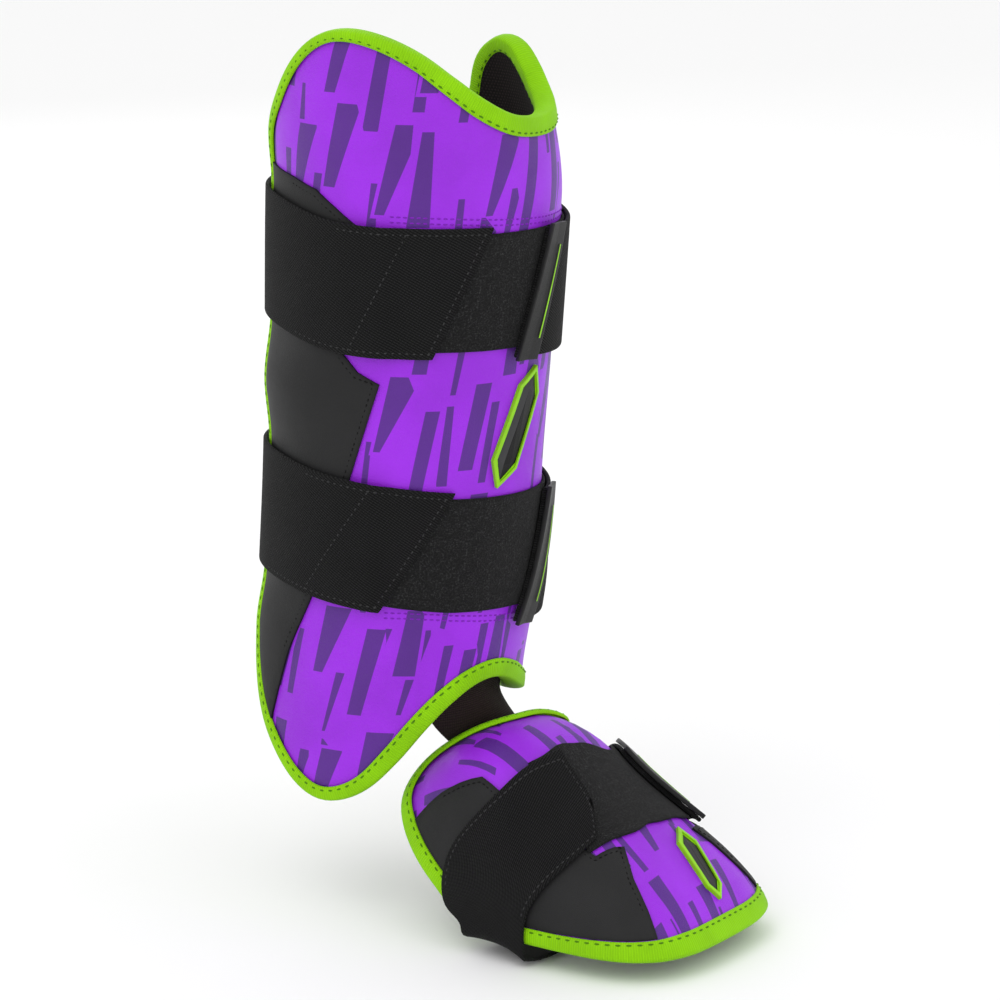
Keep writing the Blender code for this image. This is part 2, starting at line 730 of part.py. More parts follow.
def add_foot_strap(materials):
    """Make the foot strap from its sewn outer end, under the sole, up to its loose inner end."""
    low = strap_low()
    outer = foot_rows(OUTER_STRAP_ROWS, low, STRAP_WALL)
    sole = sole_rows()
    inner = foot_rows(INNER_STRAP_ROWS, low, STRAP_WALL)
    add_grid("foot_strap", outer[0] + sole[0] + inner[0], outer[1] + sole[1] + inner[1], materials["black"])

    add_grid("foot_landing", *foot_rows(FOOT_LANDING_ROWS, GAP, LANDING_WALL), materials["felt"])

    end = INNER_STRAP_ROWS[-1]
    before = INNER_STRAP_ROWS[-2]
    middle = ((end.rear_inner + end.front_inner) / 2, (end.rear_rear + end.front_rear) / 2)
    back = ((before.rear_inner + before.front_inner) / 2, (before.rear_rear + before.front_rear) / 2)
    step = (FOOT.base(*back) - FOOT.base(*middle)).length
    shares = (-TAB_OVERHANG / step, (TAB_WIDTH - TAB_OVERHANG) / step / 2, (TAB_WIDTH - TAB_OVERHANG) / step)
    tab_rows = [StrapRow(*(mix(pair, share) for pair in zip(end, before))) for share in shares]
    add_grid("foot_pull_tab", *foot_rows(tab_rows, low + STRAP_WALL + GAP, TAB_WALL), materials["rubber"])


def add_badge(name, surface, spot, length, width, lean, material):
    """Make a long six-sided badge flat on the surface."""
    u, v = spot
    along_u, along_v = slopes(surface, u, v)
    turn = math.radians(lean)
    side = along_u.normalized()
    up = (along_v - side * along_v.dot(side)).normalized()
    corners = []
    for across, along in ((0, 1), (1, BADGE_SHOULDER), (1, -BADGE_SHOULDER), (0, -1),
                          (-1, -BADGE_SHOULDER), (-1, BADGE_SHOULDER)):
        x, y = across * width / 2, along * length / 2
        move = side * (x * math.cos(turn) - y * math.sin(turn)) + up * (x * math.sin(turn) + y * math.cos(turn))
        corners.append(shifted(surface, u, v, move))
    add_sheet(name, surface, corners, GAP, GAP + BADGE_WALL, material, coarse=0.7)


def thickened(rows, wall):
    """Return the grid that lies a wall's thickness behind a grid, on the side of the leg."""
    behind = []
    for i, row in enumerate(rows):
        shifted_row = []
        for j, point in enumerate(row):
            down = rows[min(i + 1, len(rows) - 1)][j] - rows[max(i - 1, 0)][j]
            across = row[min(j + 1, len(row) - 1)] - row[max(j - 1, 0)]
            shifted_row.append(point + across.cross(down).normalized() * wall)
        behind.append(shifted_row)
    return behind


def add_ankle_elastic(material):
    """Make the knitted band that joins the shin shell to the foot guard at the front of the ankle."""
    inside_shin = -(SHELL_WALL + max(LINING_WALL, BINDING_WALL) + ELASTIC_GAP)
    inside_foot = -(FOOT_WALL + BINDING_WALL + GAP + ELASTIC_GAP)
    table = [(index, *row) for index, row in enumerate(ELASTIC_ROWS)]
    columns = []
    for column in range(ELASTIC_COLUMNS + 1):
        along = column / ELASTIC_COLUMNS * (len(ELASTIC_ROWS) - 1)
        angle, height, *spots = (read_row(table, field, along) for field in range(1, 7))
        points = []
        for row in range(ELASTIC_SHIN_ROWS + 1):
            down = mix((ELASTIC_TOP, height), row / ELASTIC_SHIN_ROWS)
            points.append(place(LEG, angle, down * SHELL_HEIGHT, inside_shin))
        points.append(place(FOOT, spots[0], spots[1], inside_foot))
        points.append(place(FOOT, spots[2], spots[3], inside_foot))
        columns.append(points)
    rows = list(zip(*columns))
    add_grid("ankle_elastic", thickened(rows, ELASTIC_WALL), rows, material)


def lower_edge_rows():
    """Return the foot guard's lower edge: at each direction the disc share that lies at RIM_HEIGHT."""
    rows = []
    for degrees in LOWER_EDGE_ANGLES:
        direction = math.radians(degrees)
        near, far = 0.2, 1.0
        for _ in range(40):
            middle = (near + far) / 2
            point = foot_base(middle * math.cos(direction), middle * math.sin(direction))
            if point.z > SOLE_HEIGHT + RIM_HEIGHT:
                near = middle
            else:
                far = middle
        share = mix(LOWER_EDGE_BINDING, max(0.0, -math.sin(direction)))
        rows.append(FootEdge(near * math.cos(direction), near * math.sin(direction), share))
    return rows


def main():
    clear_scene()
    materials = {
        "purple": make_material("purple", 0.45),
        "lime": make_material("lime", 0.50),
        "lining": make_material("lining", 0.90),
        "charcoal": make_material("charcoal", 0.60),
        "black": make_material("black", 0.85),
        "felt": make_material("felt", 0.95),
        "rubber": make_material("rubber", 0.55),
    }

    shin_rows = [(row.angle, row.height * SHELL_HEIGHT, row.binding) for row in SHIN_EDGE]
    shin_edge = closed_stations(LEG, shin_rows, SHIN_STATIONS)
    shin_inset = inset_spots(LEG, shin_edge, GAP)
    shin_outline = [(u, v) for u, v, _ in shin_edge]
    add_sheet("shin_shell", LEG, shin_outline, -SHELL_WALL, 0.0, materials["purple"], ring=shin_inset)
    lining_high = -SHELL_WALL - GAP
    add_sheet("shin_lining", LEG, shin_inset, lining_high - LINING_WALL, lining_high, materials["lining"], 2.0)
    add_binding("shin_binding", LEG, shin_edge, SHELL_WALL, materials["lime"])
    panel_edge = [(spot.angle, spot.height * SHELL_HEIGHT) for spot in SHIN_PANEL_EDGE]
    outline = panel_outline(LEG, panel_edge, shin_inset)
    add_sheet("shin_side_panel", LEG, outline, GAP, GAP + PANEL_WALL, materials["charcoal"])
    badge_spot = (SHIN_BADGE_SPOT.angle, SHIN_BADGE_SPOT.height * SHELL_HEIGHT)
    add_badge("shin_badge", LEG, badge_spot, SHIN_BADGE_LENGTH, SHIN_BADGE_WIDTH, SHIN_BADGE_LEAN,
              materials["lime"])
    add_leg_strap("upper", UPPER_STRAP_PATH, UPPER_SEWN_END, UPPER_LOOSE_END, materials)
    add_leg_strap("lower", LOWER_STRAP_PATH, LOWER_SEWN_END, LOWER_LOOSE_END, materials)

    foot_edge = closed_stations(FOOT, list(FOOT_REAR_EDGE) + lower_edge_rows(), FOOT_STATIONS)
    foot_inset = inset_spots(FOOT, foot_edge, GAP)
    foot_outline = [(u, v) for u, v, _ in foot_edge]
    add_sheet("foot_shell", FOOT, foot_outline, -FOOT_WALL, 0.0, materials["purple"], ring=foot_inset)
    add_binding("foot_binding", FOOT, foot_edge, FOOT_WALL, materials["lime"])
    for side, edge in (("outer", FOOT_OUTER_PANEL_EDGE), ("inner", FOOT_INNER_PANEL_EDGE)):
        outline = panel_outline(FOOT, edge, foot_inset)
        add_sheet(f"foot_{side}_panel", FOOT, outline, GAP, GAP + PANEL_WALL, materials["charcoal"])
    add_badge("foot_badge", FOOT, FOOT_BADGE_SPOT, FOOT_BADGE_LENGTH, FOOT_BADGE_WIDTH, FOOT_BADGE_LEAN,
              materials["lime"])
    add_foot_strap(materials)
    add_ankle_elastic(materials["lining"])


main()
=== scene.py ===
"""The looks of a batter's leg guard for a right leg.

Metres, in the frame of the CAD part: +Z up, the toes towards -Y, the outer side of the leg towards -X.
Every soft piece is laid on one of two skins, the leg and the top of the foot, at its own distance from it.
Place and size on a skin are kept in u and v: degrees and metres on the leg, shares of a disc on the foot.
"""

import logging
import math
from abc import ABC, abstractmethod
from dataclasses import dataclass, field
from enum import Enum
from typing import Any, Callable, Sequence

import bmesh
import bpy
import numpy as np
from mathutils import Matrix, Vector
from mathutils.geometry import delaunay_2d_cdt


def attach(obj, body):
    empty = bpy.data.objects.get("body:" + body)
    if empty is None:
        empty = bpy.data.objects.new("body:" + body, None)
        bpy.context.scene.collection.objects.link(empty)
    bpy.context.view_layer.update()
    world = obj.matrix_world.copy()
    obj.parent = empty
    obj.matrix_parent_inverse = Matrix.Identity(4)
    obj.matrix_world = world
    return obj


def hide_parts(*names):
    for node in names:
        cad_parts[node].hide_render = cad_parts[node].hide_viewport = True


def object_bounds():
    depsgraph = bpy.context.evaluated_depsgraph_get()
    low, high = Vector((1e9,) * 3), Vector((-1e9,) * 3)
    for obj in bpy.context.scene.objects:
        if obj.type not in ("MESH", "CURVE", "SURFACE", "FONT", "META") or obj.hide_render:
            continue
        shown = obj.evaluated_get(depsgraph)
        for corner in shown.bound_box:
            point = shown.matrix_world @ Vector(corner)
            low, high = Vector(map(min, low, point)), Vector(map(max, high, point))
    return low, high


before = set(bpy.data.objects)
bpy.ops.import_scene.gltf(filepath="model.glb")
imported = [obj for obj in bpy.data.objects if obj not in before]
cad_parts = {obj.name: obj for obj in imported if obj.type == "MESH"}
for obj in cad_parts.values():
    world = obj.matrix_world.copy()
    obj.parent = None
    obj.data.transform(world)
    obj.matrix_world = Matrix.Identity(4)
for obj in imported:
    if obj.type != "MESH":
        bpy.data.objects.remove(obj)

LOG = logging.getLogger("leg_guard")
CAD_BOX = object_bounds()
BLACK = (0.0, 0.0, 0.0, 1.0)
FINE_PARTS = 24
HAIR = 0.0001
Array = np.ndarray
Pair = tuple[float, float]
Rows = Sequence[Sequence[float]]
Socket = bpy.types.NodeSocket


# Curves and small sums


def ease(start: float, end: float, value: Array) -> Array:
    """Rise smoothly from 0 at start to 1 at end.

    Args:
        start: Value where the rise begins; it may be the larger.
        end: Value where it ends.
        value: Values to ease.

    Returns:
        Shares from 0 to 1.
    """
    share = np.clip((np.asarray(value, float) - start) / (end - start), 0.0, 1.0)
    return share * share * (3.0 - 2.0 * share)


def mix(pair: Sequence[Any], share: Any) -> Any:
    """Return the value a share of the way from the first of a pair to the second."""
    return pair[0] + (pair[1] - pair[0]) * share


def read_curve(table: Rows, column: int, values: Array) -> Array:
    """Read a column of a table on a smooth curve through its rows.

    Args:
        table: Rows, sorted by their first column.
        column: Column to read.
        values: Where to read it, in the first column's terms.

    Returns:
        The values there.
    """
    rows = np.asarray(table, float)
    keys, data = rows[:, 0], rows[:, column]
    left = np.clip(np.searchsorted(keys, values, side="right") - 1, 0, len(keys) - 2)
    before, right, after = np.maximum(left - 1, 0), left + 1, np.minimum(left + 2, len(keys) - 1)
    span = keys[right] - keys[left]
    share = np.clip((values - keys[left]) / span, 0.0, 1.0)
    slope_left = (data[right] - data[before]) / (keys[right] - keys[before])
    slope_right = (data[after] - data[left]) / (keys[after] - keys[left])
    square, cube = share**2, share**3
    return (
        (2 * cube - 3 * square + 1) * data[left]
        + (cube - 2 * square + share) * span * slope_left
        + (3 * square - 2 * cube) * data[right]
        + (cube - square) * span * slope_right
    )


def smooth_rows(rows: Array, parts: int, closed: bool = False) -> Array:
    """Put evenly spaced rows on a smooth curve through rows.

    Args:
        rows: The first axis runs along the curve.
        parts: Pieces that each span is divided into.
        closed: Whether the curve returns to its first row.

    Returns:
        The finer rows.
    """
    rows = np.asarray(rows, float)
    total = len(rows)
    spans = total if closed else total - 1
    place = np.arange(spans * parts + (0 if closed else 1)) / parts
    index = np.minimum(place.astype(int), spans - 1)
    share = (place - index).reshape((-1,) + (1,) * (rows.ndim - 1))

    def at(step: int) -> Array:
        """Return the control rows a number of steps on."""
        spot = index + step
        return rows[spot % total] if closed else rows[np.clip(spot, 0, total - 1)]

    a, b, c, d = at(-1), at(0), at(1), at(2)
    curve = 2 * b + (c - a) * share + (2 * a - 5 * b + 4 * c - d) * share**2 + (3 * b - a - 3 * c + d) * share**3
    return curve / 2


def unit(vectors: Array) -> Array:
    """Return vectors scaled to a length of one."""
    return vectors / np.maximum(np.linalg.norm(vectors, axis=-1, keepdims=True), 1e-12)


def turned(angle: Array) -> Array:
    """Return angles in degrees brought to between -180 and 180."""
    return (angle + 180.0) % 360.0 - 180.0


def running_length(points: Array, axis: int = 0) -> Array:
    """Return how far each point of a line or a grid lies from the first one along an axis."""
    steps = np.linalg.norm(np.diff(points, axis=axis), axis=-1)
    start = np.zeros_like(np.take(steps, [0], axis=axis))
    return np.concatenate([start, np.cumsum(steps, axis=axis)], axis=axis)


def read_along(rows: Array, lengths: Array, goals: Array) -> Array:
    """Read the rows of a line at wanted lengths along it.

    Args:
        rows: The line's rows.
        lengths: Length along the line at each row.
        goals: Wanted lengths.

    Returns:
        One row for each goal.
    """
    return np.stack([np.interp(goals, lengths, column) for column in rows.T], axis=1)


# Sizes


@dataclass(frozen=True)
class Sizes:
    """Walls, widths and clearances of the guard's pieces, as in the CAD part."""

    gap: float = 0.0005
    pad: float = 0.006
    foot_pad: float = 0.005
    lining: float = 0.001
    binding_width: float = 0.0072
    binding: float = 0.0012
    panel: float = 0.001
    badge: float = 0.0016
    strap_width: float = 0.058
    strap: float = 0.002
    landing_width: float = 0.052
    landing: float = 0.0013
    tab_width: float = 0.0115
    tab: float = 0.0022
    tab_overhang: float = 0.001
    elastic: float = 0.0014
    elastic_gap: float = 0.0012
    end_overlap: float = 0.0003
    lobe_low: float = 0.510
    lobe_to_sole: float = 0.0565

    @property
    def strap_low(self) -> float:
        """How far the straps lie off the skin, over landing, binding and panel."""
        return max(self.landing, self.binding, self.panel) + 2 * self.gap


SIZES = Sizes()


# Skins


@dataclass(frozen=True)
class Skin(ABC):
    """A smooth surface with two coordinates, u and v, on which pieces are laid.

    side turns its normals outwards, small is the step of u and v that slopes are taken over, and plan is
    the rough length in metres of one step of u and v, used to mesh a sheet evenly.
    """

    side: float = 1.0
    small: Pair = (0.002, 0.002)
    plan: Pair = (1.0, 1.0)

    @abstractmethod
    def base(self, u: Array, v: Array) -> Array:
        """Return the surface points at u and v."""

    @abstractmethod
    def flat(self, u: Array, v: Array) -> Array:
        """Return where u and v lie on the cloth spread flat, in metres."""

    def slopes(self, u: Array, v: Array) -> tuple[Array, Array]:
        """Return how fast the surface point moves with u and with v."""
        a, b = self.small
        along_u = (self.base(u + a, v) - self.base(u - a, v)) / (2 * a)
        along_v = (self.base(u, v + b) - self.base(u, v - b)) / (2 * b)
        return along_u, along_v

    def normal(self, u: Array, v: Array) -> Array:
        """Return the outward normals at u and v."""
        along_u, along_v = self.slopes(u, v)
        return unit(np.cross(along_u, along_v)) * self.side

    def place(self, u: Array, v: Array, offset: Any) -> Array:
        """Return points at a distance outside the surface, or inside where it is negative."""
        return self.base(u, v) + self.normal(u, v) * np.broadcast_to(offset, np.shape(u))[..., None]

    def moved(self, u: Array, v: Array, move: Array) -> tuple[Array, Array]:
        """Return the u and v that lie a small move away along the surface."""
        along_u, along_v = self.slopes(u, v)
        uu, uv, vv = (along_u**2).sum(-1), (along_u * along_v).sum(-1), (along_v**2).sum(-1)
        mu, mv = (along_u * move).sum(-1), (along_v * move).sum(-1)
        scale = uu * vv - uv * uv
        return u + (mu * vv - mv * uv) / scale, v + (mv * uu - mu * uv) / scale


@dataclass(frozen=True)
class LegSkin(Skin):
    """The leg: u is the angle in degrees from the front towards the outer side, v the height.

    A tuck draws the front in near the top and the bottom: a tuck's first two numbers are the heights,
    as shares, between which it grows, and the third is its depth. The straps pull the rear edge in.
    """

    side: float = -1.0
    small: Pair = (0.14, 0.0005)
    plan: Pair = (math.radians(0.0628), 1.0)
    height: float = 0.350
    width: float = 0.120
    depth: float = 0.131
    top_tuck: tuple[float, float, float] = (0.25, 0.47, 0.033)
    bottom_tuck: tuple[float, float, float] = (-0.22, -0.39, 0.0090)
    tuck_outer: Pair = (30.0, -10.0)
    tuck_inner: Pair = (-130.0, -85.0)
    pull: float = 0.0025
    pull_angle: float = 143.0
    pull_turns: Pair = (65.0, 20.0)
    pull_reaches: Pair = (1.0, 0.5)
    pull_heights: Pair = (0.183, -0.149)
    # Height, width, depth and lean, as shares of the leg's own
    sections: Rows = (
        (-0.52, 0.958, 0.977, -0.0371),
        (-0.36, 0.965, 0.985, -0.0243),
        (-0.25, 0.978, 0.988, -0.0137),
        (-0.10, 0.990, 0.972, -0.0051),
        (0.05, 1.005, 0.992, 0.0043),
        (0.28, 1.033, 1.015, 0.0163),
        (0.50, 1.025, 1.008, 0.0286),
    )

    def base(self, u: Array, v: Array) -> Array:
        """Return the surface points at an angle and a height."""
        angle, height = np.broadcast_arrays(np.asarray(u, float), np.asarray(v, float))
        share = height / self.height
        width = read_curve(self.sections, 1, share) * self.width / 2
        depth = read_curve(self.sections, 2, share) * self.depth / 2
        lean = read_curve(self.sections, 3, share) * self.height
        tuck = self.top_tuck[2] * ease(*self.top_tuck[:2], share)
        tuck = (tuck + self.bottom_tuck[2] * ease(*self.bottom_tuck[:2], share)) * self.height
        turn = turned(angle)
        tuck = tuck * ease(*self.tuck_outer, turn) * ease(*self.tuck_inner, turn)
        away = np.minimum(*(np.abs(share - middle) for middle in self.pull_heights))
        away = away * self.height / SIZES.strap_width
        aside = np.abs(turned(angle - self.pull_angle))
        tuck = tuck + self.pull * ease(*self.pull_reaches, away) * ease(*self.pull_turns, aside)
        around = np.radians(angle)
        x, y = -(width - tuck) * np.sin(around), -lean - (depth - tuck) * np.cos(around)
        return np.stack([x, y, height], axis=-1)

    def flat(self, u: Array, v: Array) -> Array:
        """Return the arc and the height, in metres."""
        return np.stack([np.asarray(u) * -self.plan[0], np.asarray(v) * 1.0], axis=-1)

    def degrees(self, length: float) -> float:
        """Return the angle that a length covers round the leg."""
        return math.degrees(length / ((self.width + self.depth) / 4))


@dataclass(frozen=True)
class FootSkin(Skin):
    """The top of the foot: u and v are shares of a disc, towards the inner side and the rear.

    The powers round its plan and its walls. The cloth spread flat is narrowed by spread down its walls
    and lengthened by rise along its ridge, which keeps the print's strokes their size.
    """

    side: float = 1.0
    small: Pair = (0.0016, 0.0016)
    plan: Pair = (0.070, 0.100)
    sole: float = -SIZES.lobe_low * LegSkin.height - SIZES.lobe_to_sole
    ahead: float = 0.120
    width: float = 0.118
    toe: float = 0.058
    heel: float = 0.125
    height: float = 0.104
    rim: float = 0.0115
    plan_power: float = 2.9
    wall_power: float = 2.2
    spread: float = 0.8
    rise: float = 1.15
    # Way ahead as a share of the toe's reach, and height as a share of the foot's
    ridge: Rows = (
        (-1.75, 1.000),
        (-1.03, 0.962),
        (-0.62, 0.856),
        (-0.26, 0.688),
        (0.17, 0.524),
        (0.52, 0.418),
        (0.78, 0.346),
        (1.00, 0.212),
    )

    def base(self, u: Array, v: Array) -> Array:
        """Return the surface points at a pair of disc shares."""
        inner, rear = np.broadcast_arrays(np.asarray(u, float), np.asarray(v, float))
        radius = np.maximum(np.hypot(inner, rear), 1e-9)
        across, back = inner / radius, rear / radius
        slope = np.minimum(radius, 1.0) * math.pi / 2
        reach = np.where(back > 0, self.heel, self.toe)
        power = self.plan_power
        plan = np.abs(across / (self.width / 2)) ** power + np.abs(back / reach) ** power
        plan = plan ** (-1 / power) * np.sin(slope) ** (2 / self.wall_power)
        ahead = -back * plan
        ridge = read_curve(self.ridge, 1, ahead / self.toe) * self.height
        height = self.sole + ridge * np.maximum(0.0, np.cos(slope)) ** (2 / self.wall_power)
        return np.stack([across * plan, -self.ahead - ahead, height], axis=-1)

    def flat(self, u: Array, v: Array) -> Array:
        """Return the way along the ridge and down from it, in metres."""
        u, v = np.broadcast_arrays(np.asarray(u, float), np.asarray(v, float))
        points = self.base(u, v)
        ahead = -self.ahead - points[..., 1]
        top = self.sole + read_curve(self.ridge, 1, ahead / self.toe) * self.height
        down = (top - points[..., 2]) * self.spread
        radius = np.maximum(np.hypot(u, v), 1e-9)
        across = points[..., 0] + u / radius * down
        return np.stack([across, -ahead * self.rise + v / radius * down], axis=-1)


LEG = LegSkin()
FOOT = FootSkin()


# Edges and outlines


def closed_edge(skin: Skin, rows: Rows, step: float) -> Array:
    """Space stations evenly on a smooth closed edge.

    Args:
        skin: Skin that the edge lies on.
        rows: Rows of u, v and the binding's share of its full width.
        step: Wanted distance between stations.

    Returns:
        One row of u, v and binding share for each station.
    """
    dense = smooth_rows(np.asarray(rows, float), FINE_PARTS, closed=True)
    looped = np.vstack([dense, dense[:1]])
    lengths = running_length(skin.base(looped[:, 0], looped[:, 1]))
    count = round(lengths[-1] / step)
    return read_along(looped, lengths, np.arange(count) * lengths[-1] / count)


def inward_moves(skin: Skin, stations: Array) -> Array:
    """Return for each station of a closed edge the unit direction along the skin into the piece."""
    u, v = stations[:, 0], stations[:, 1]
    after, before = np.roll(stations, -1, 0), np.roll(stations, 1, 0)
    hand = math.copysign(1.0, (u * after[:, 1] - after[:, 0] * v).sum()) * skin.side
    along = skin.base(after[:, 0], after[:, 1]) - skin.base(before[:, 0], before[:, 1])
    return unit(np.cross(skin.normal(u, v), along)) * hand


def inset_loop(skin: Skin, stations: Array, clearance: float) -> Array:
    """Return the loop of u and v inside an edge by its binding's width and a clearance."""
    moves = inward_moves(skin, stations) * (stations[:, 2:3] * SIZES.binding_width + clearance)
    return np.stack(skin.moved(stations[:, 0], stations[:, 1], moves), axis=1)


def panel_loop(skin: Skin, edge: Rows, inset: Array) -> Array:
    """Close a panel's free edge along the loop beside the binding, the shorter way round.

    Args:
        skin: Skin that the panel lies on.
        edge: Corners of the free edge; its two ends lie near the inset loop.
        inset: The loop beside the binding.

    Returns:
        The closed outline.
    """
    points = skin.base(inset[:, 0], inset[:, 1])
    ends = skin.base(*np.asarray([edge[-1], edge[0]], float).T)
    first, last = (int(np.linalg.norm(points - end, axis=1).argmin()) for end in ends)
    total = len(inset)
    forward, backward = (last - first) % total, (first - last) % total
    step = 1 if forward < backward else -1
    along = [inset[(first + step * number) % total] for number in range(min(forward, backward) + 1)]
    return np.vstack([np.asarray(edge[1:-1], float), along])


def even_line(
    skin: Skin, line: Rows, step: float, offset: float, closed: bool = False
) -> tuple[Array, Array]:
    """Space points evenly along a line on a skin.

    Args:
        skin: Skin that the line lies on.
        line: Corners of u and v.
        step: Distance between points.
        offset: Distance outside the skin.
        closed: Whether the line returns to its start.

    Returns:
        The points and the skin's normals there.
    """
    corners = np.asarray(line, float)[:, :2]
    if closed:
        corners = np.vstack([corners, corners[:1]])
    spans = zip(corners, corners[1:])
    fine = np.concatenate([np.linspace(a, b, FINE_PARTS, endpoint=False) for a, b in spans])
    fine = np.vstack([fine, corners[-1:]])
    lengths = running_length(skin.base(fine[:, 0], fine[:, 1]))
    u, v = read_along(fine, lengths, np.arange(step / 2, lengths[-1], step)).T
    return skin.place(u, v, offset), skin.normal(u, v)


# Meshes


def face_outwards(mesh: bpy.types.Mesh) -> None:
    """Turn a mesh's faces outwards."""
    edit = bmesh.new()
    edit.from_mesh(mesh)
    bmesh.ops.recalc_face_normals(edit, faces=edit.faces)
    edit.to_mesh(mesh)
    edit.free()


def read_points(piece: bpy.types.Object) -> Array:
    """Return a piece's vertices, a row of x, y and z for each."""
    return np.array([tuple(vertex.co) for vertex in piece.data.vertices])


def move_points(piece: bpy.types.Object, points: Array) -> None:
    """Put a piece's vertices in new places and turn its faces outwards."""
    piece.data.vertices.foreach_set("co", points.astype(np.float32).ravel())
    face_outwards(piece.data)


def pick_vertices(choose: Callable[[Vector], bool]) -> None:
    """Select the edited vertices that a test picks, and nothing else."""
    edit = bmesh.from_edit_mesh(bpy.context.object.data)
    bpy.ops.mesh.select_mode(type="VERT")
    for vertex in edit.verts:
        vertex.select = choose(vertex.co)
    edit.select_flush_mode()
    bmesh.update_edit_mesh(bpy.context.object.data)


def make_piece(
    name: str, points: Array, faces: Sequence[Sequence[int]], flat: Array, material: bpy.types.Material,
    edge: Array | None = None, sharp: float = 50.0,
) -> bpy.types.Object:
    """Make a piece from points and faces.

    Args:
        name: Name of the piece.
        points: Its vertices.
        faces: Its faces.
        flat: Where each vertex lies on the cloth spread flat; it becomes the UV map.
        material: Its finish.
        edge: Each vertex's distance to the piece's edge, kept as an attribute.
        sharp: Angle in degrees above which an edge looks sharp.

    Returns:
        The new object.
    """
    mesh = bpy.data.meshes.new(name)
    mesh.from_pydata(np.asarray(points, float).tolist(), [], [list(face) for face in faces])
    face_outwards(mesh)
    corners = np.empty(len(mesh.loops), dtype=np.int32)
    mesh.loops.foreach_get("vertex_index", corners)
    layer = mesh.uv_layers.new(name="cloth")
    layer.data.foreach_set("uv", np.asarray(flat, np.float32)[corners].ravel())
    if edge is not None:
        kept = mesh.attributes.new("edge", "FLOAT", "POINT")
        kept.data.foreach_set("value", np.asarray(edge, np.float32))
    mesh.shade_smooth()
    mesh.set_sharp_from_angle(angle=math.radians(sharp))
    mesh.materials.append(material)
    piece = bpy.data.objects.new(name, mesh)
    bpy.context.scene.collection.objects.link(piece)
    return piece


def ring_faces(rings: int, count: int, closed: bool) -> list[tuple[int, ...]]:
    """Return the faces between rings of points.

    Args:
        rings: Number of rings.
        count: Points in each ring.
        closed: Whether the last ring joins the first; if not, both ends are capped.

    Returns:
        The faces.
    """
    faces: list[tuple[int, ...]] = []
    for ring in range(rings if closed else rings - 1):
        here, there = ring * count, (ring + 1) % rings * count
        for spot in range(count):
            after = (spot + 1) % count
            faces.append((here + spot, here + after, there + after, there + spot))
    if not closed:
        faces.append(tuple(range(count)))
        faces.append(tuple(range((rings - 1) * count, rings * count)))
    return faces


def loop_distance(spots: Array, loop: Array) -> Array:
    """Return each flat spot's distance to a flat closed loop."""
    nearest = np.full(len(spots), np.inf)
    for start, end in zip(loop, np.roll(loop, -1, 0)):
        side = end - start
        share = np.clip((spots - start) @ side / max(float(side @ side), 1e-18), 0.0, 1.0)
        nearest = np.minimum(nearest, np.linalg.norm(spots - start - share[:, None] * side, axis=1))
    return nearest


def loop_holds(spots: Array, loop: Array) -> Array:
    """Tell which flat spots lie inside a flat closed loop."""
    inside = np.zeros(len(spots), bool)
    for start, end in zip(loop, np.roll(loop, -1, 0)):
        if start[1] == end[1]:
            continue
        spans = (start[1] > spots[:, 1]) != (end[1] > spots[:, 1])
        cross = start[0] + (spots[:, 1] - start[1]) * (end[0] - start[0]) / (end[1] - start[1])
        inside ^= spans & (spots[:, 0] < cross)
    return inside


def cut_sheet(
    name: str, skin: Skin, outline: Array, step: float, low: float,
    high: Callable[[Array, Array, Array], Array], material: bpy.types.Material,
) -> bpy.types.Object:
    """Cut a sheet to an outline and lay it on a skin.

    Args:
        name: Name of the piece.
        skin: Skin that it lies on.
        outline: Closed loop of u and v.
        step: Size of its mesh.
        low: Distance of its inner face outside the skin.
        high: Gives the outer face's distance from u, v and the distance to the edge.
        material: Its finish.

    Returns:
        The new object.
    """
    scale = np.array(skin.plan)
    loop = np.asarray(outline)[:, :2] * scale
    corners = []
    for start, end in zip(loop, np.roll(loop, -1, 0)):
        pieces = max(1, math.ceil(float(np.linalg.norm(end - start)) / (1.2 * step)))
        corners.extend(start + (end - start) * part / pieces for part in range(pieces))
    loop = np.array(corners)
    xs, ys = (np.arange(loop[:, axis].min(), loop[:, axis].max(), step) for axis in (0, 1))
    grid = np.stack(np.meshgrid(xs, ys), axis=-1).reshape(-1, 2)
    grid = grid[loop_holds(grid, loop)]
    grid = grid[loop_distance(grid, loop) > 0.45 * step]
    sides = [(index, (index + 1) % len(loop)) for index in range(len(loop))]
    seeds = [Vector(spot) for spot in np.vstack([loop, grid])]
    spots, _, faces, *_ = delaunay_2d_cdt(seeds, sides, [], 1, 1e-7)
    spots = np.array([tuple(spot) for spot in spots])
    u, v = (spots / scale).T
    edge = loop_distance(spots, loop)
    normals, base = skin.normal(u, v), skin.base(u, v)
    top = base + normals * np.asarray(high(u, v, edge))[:, None]
    bottom = base + normals * low
    total = len(spots)
    ways = {(face[i - 1], face[i]) for face in faces for i in range(len(face))}
    walls = [(b, a, a + total, b + total) for a, b in ways if (b, a) not in ways]
    under = [tuple(index + total for index in reversed(face)) for face in faces]
    flat = skin.flat(u, v)
    return make_piece(
        name, np.vstack([top, bottom]), [*faces, *under, *walls], np.vstack([flat, flat]), material,
        np.concatenate([edge, edge]),
    )


def edge_shares(width: float, radius: float, inner: int) -> Array:
    """Return shares across a band, closer together where its long edges are rounded."""
    rounded = np.array([0.0, 0.06, 0.25, 0.6, 1.0]) * radius / width
    plain = np.linspace(rounded[-1], 1 - rounded[-1], inner + 2)[1:-1]
    return np.concatenate([rounded, plain, 1 - rounded[::-1]])


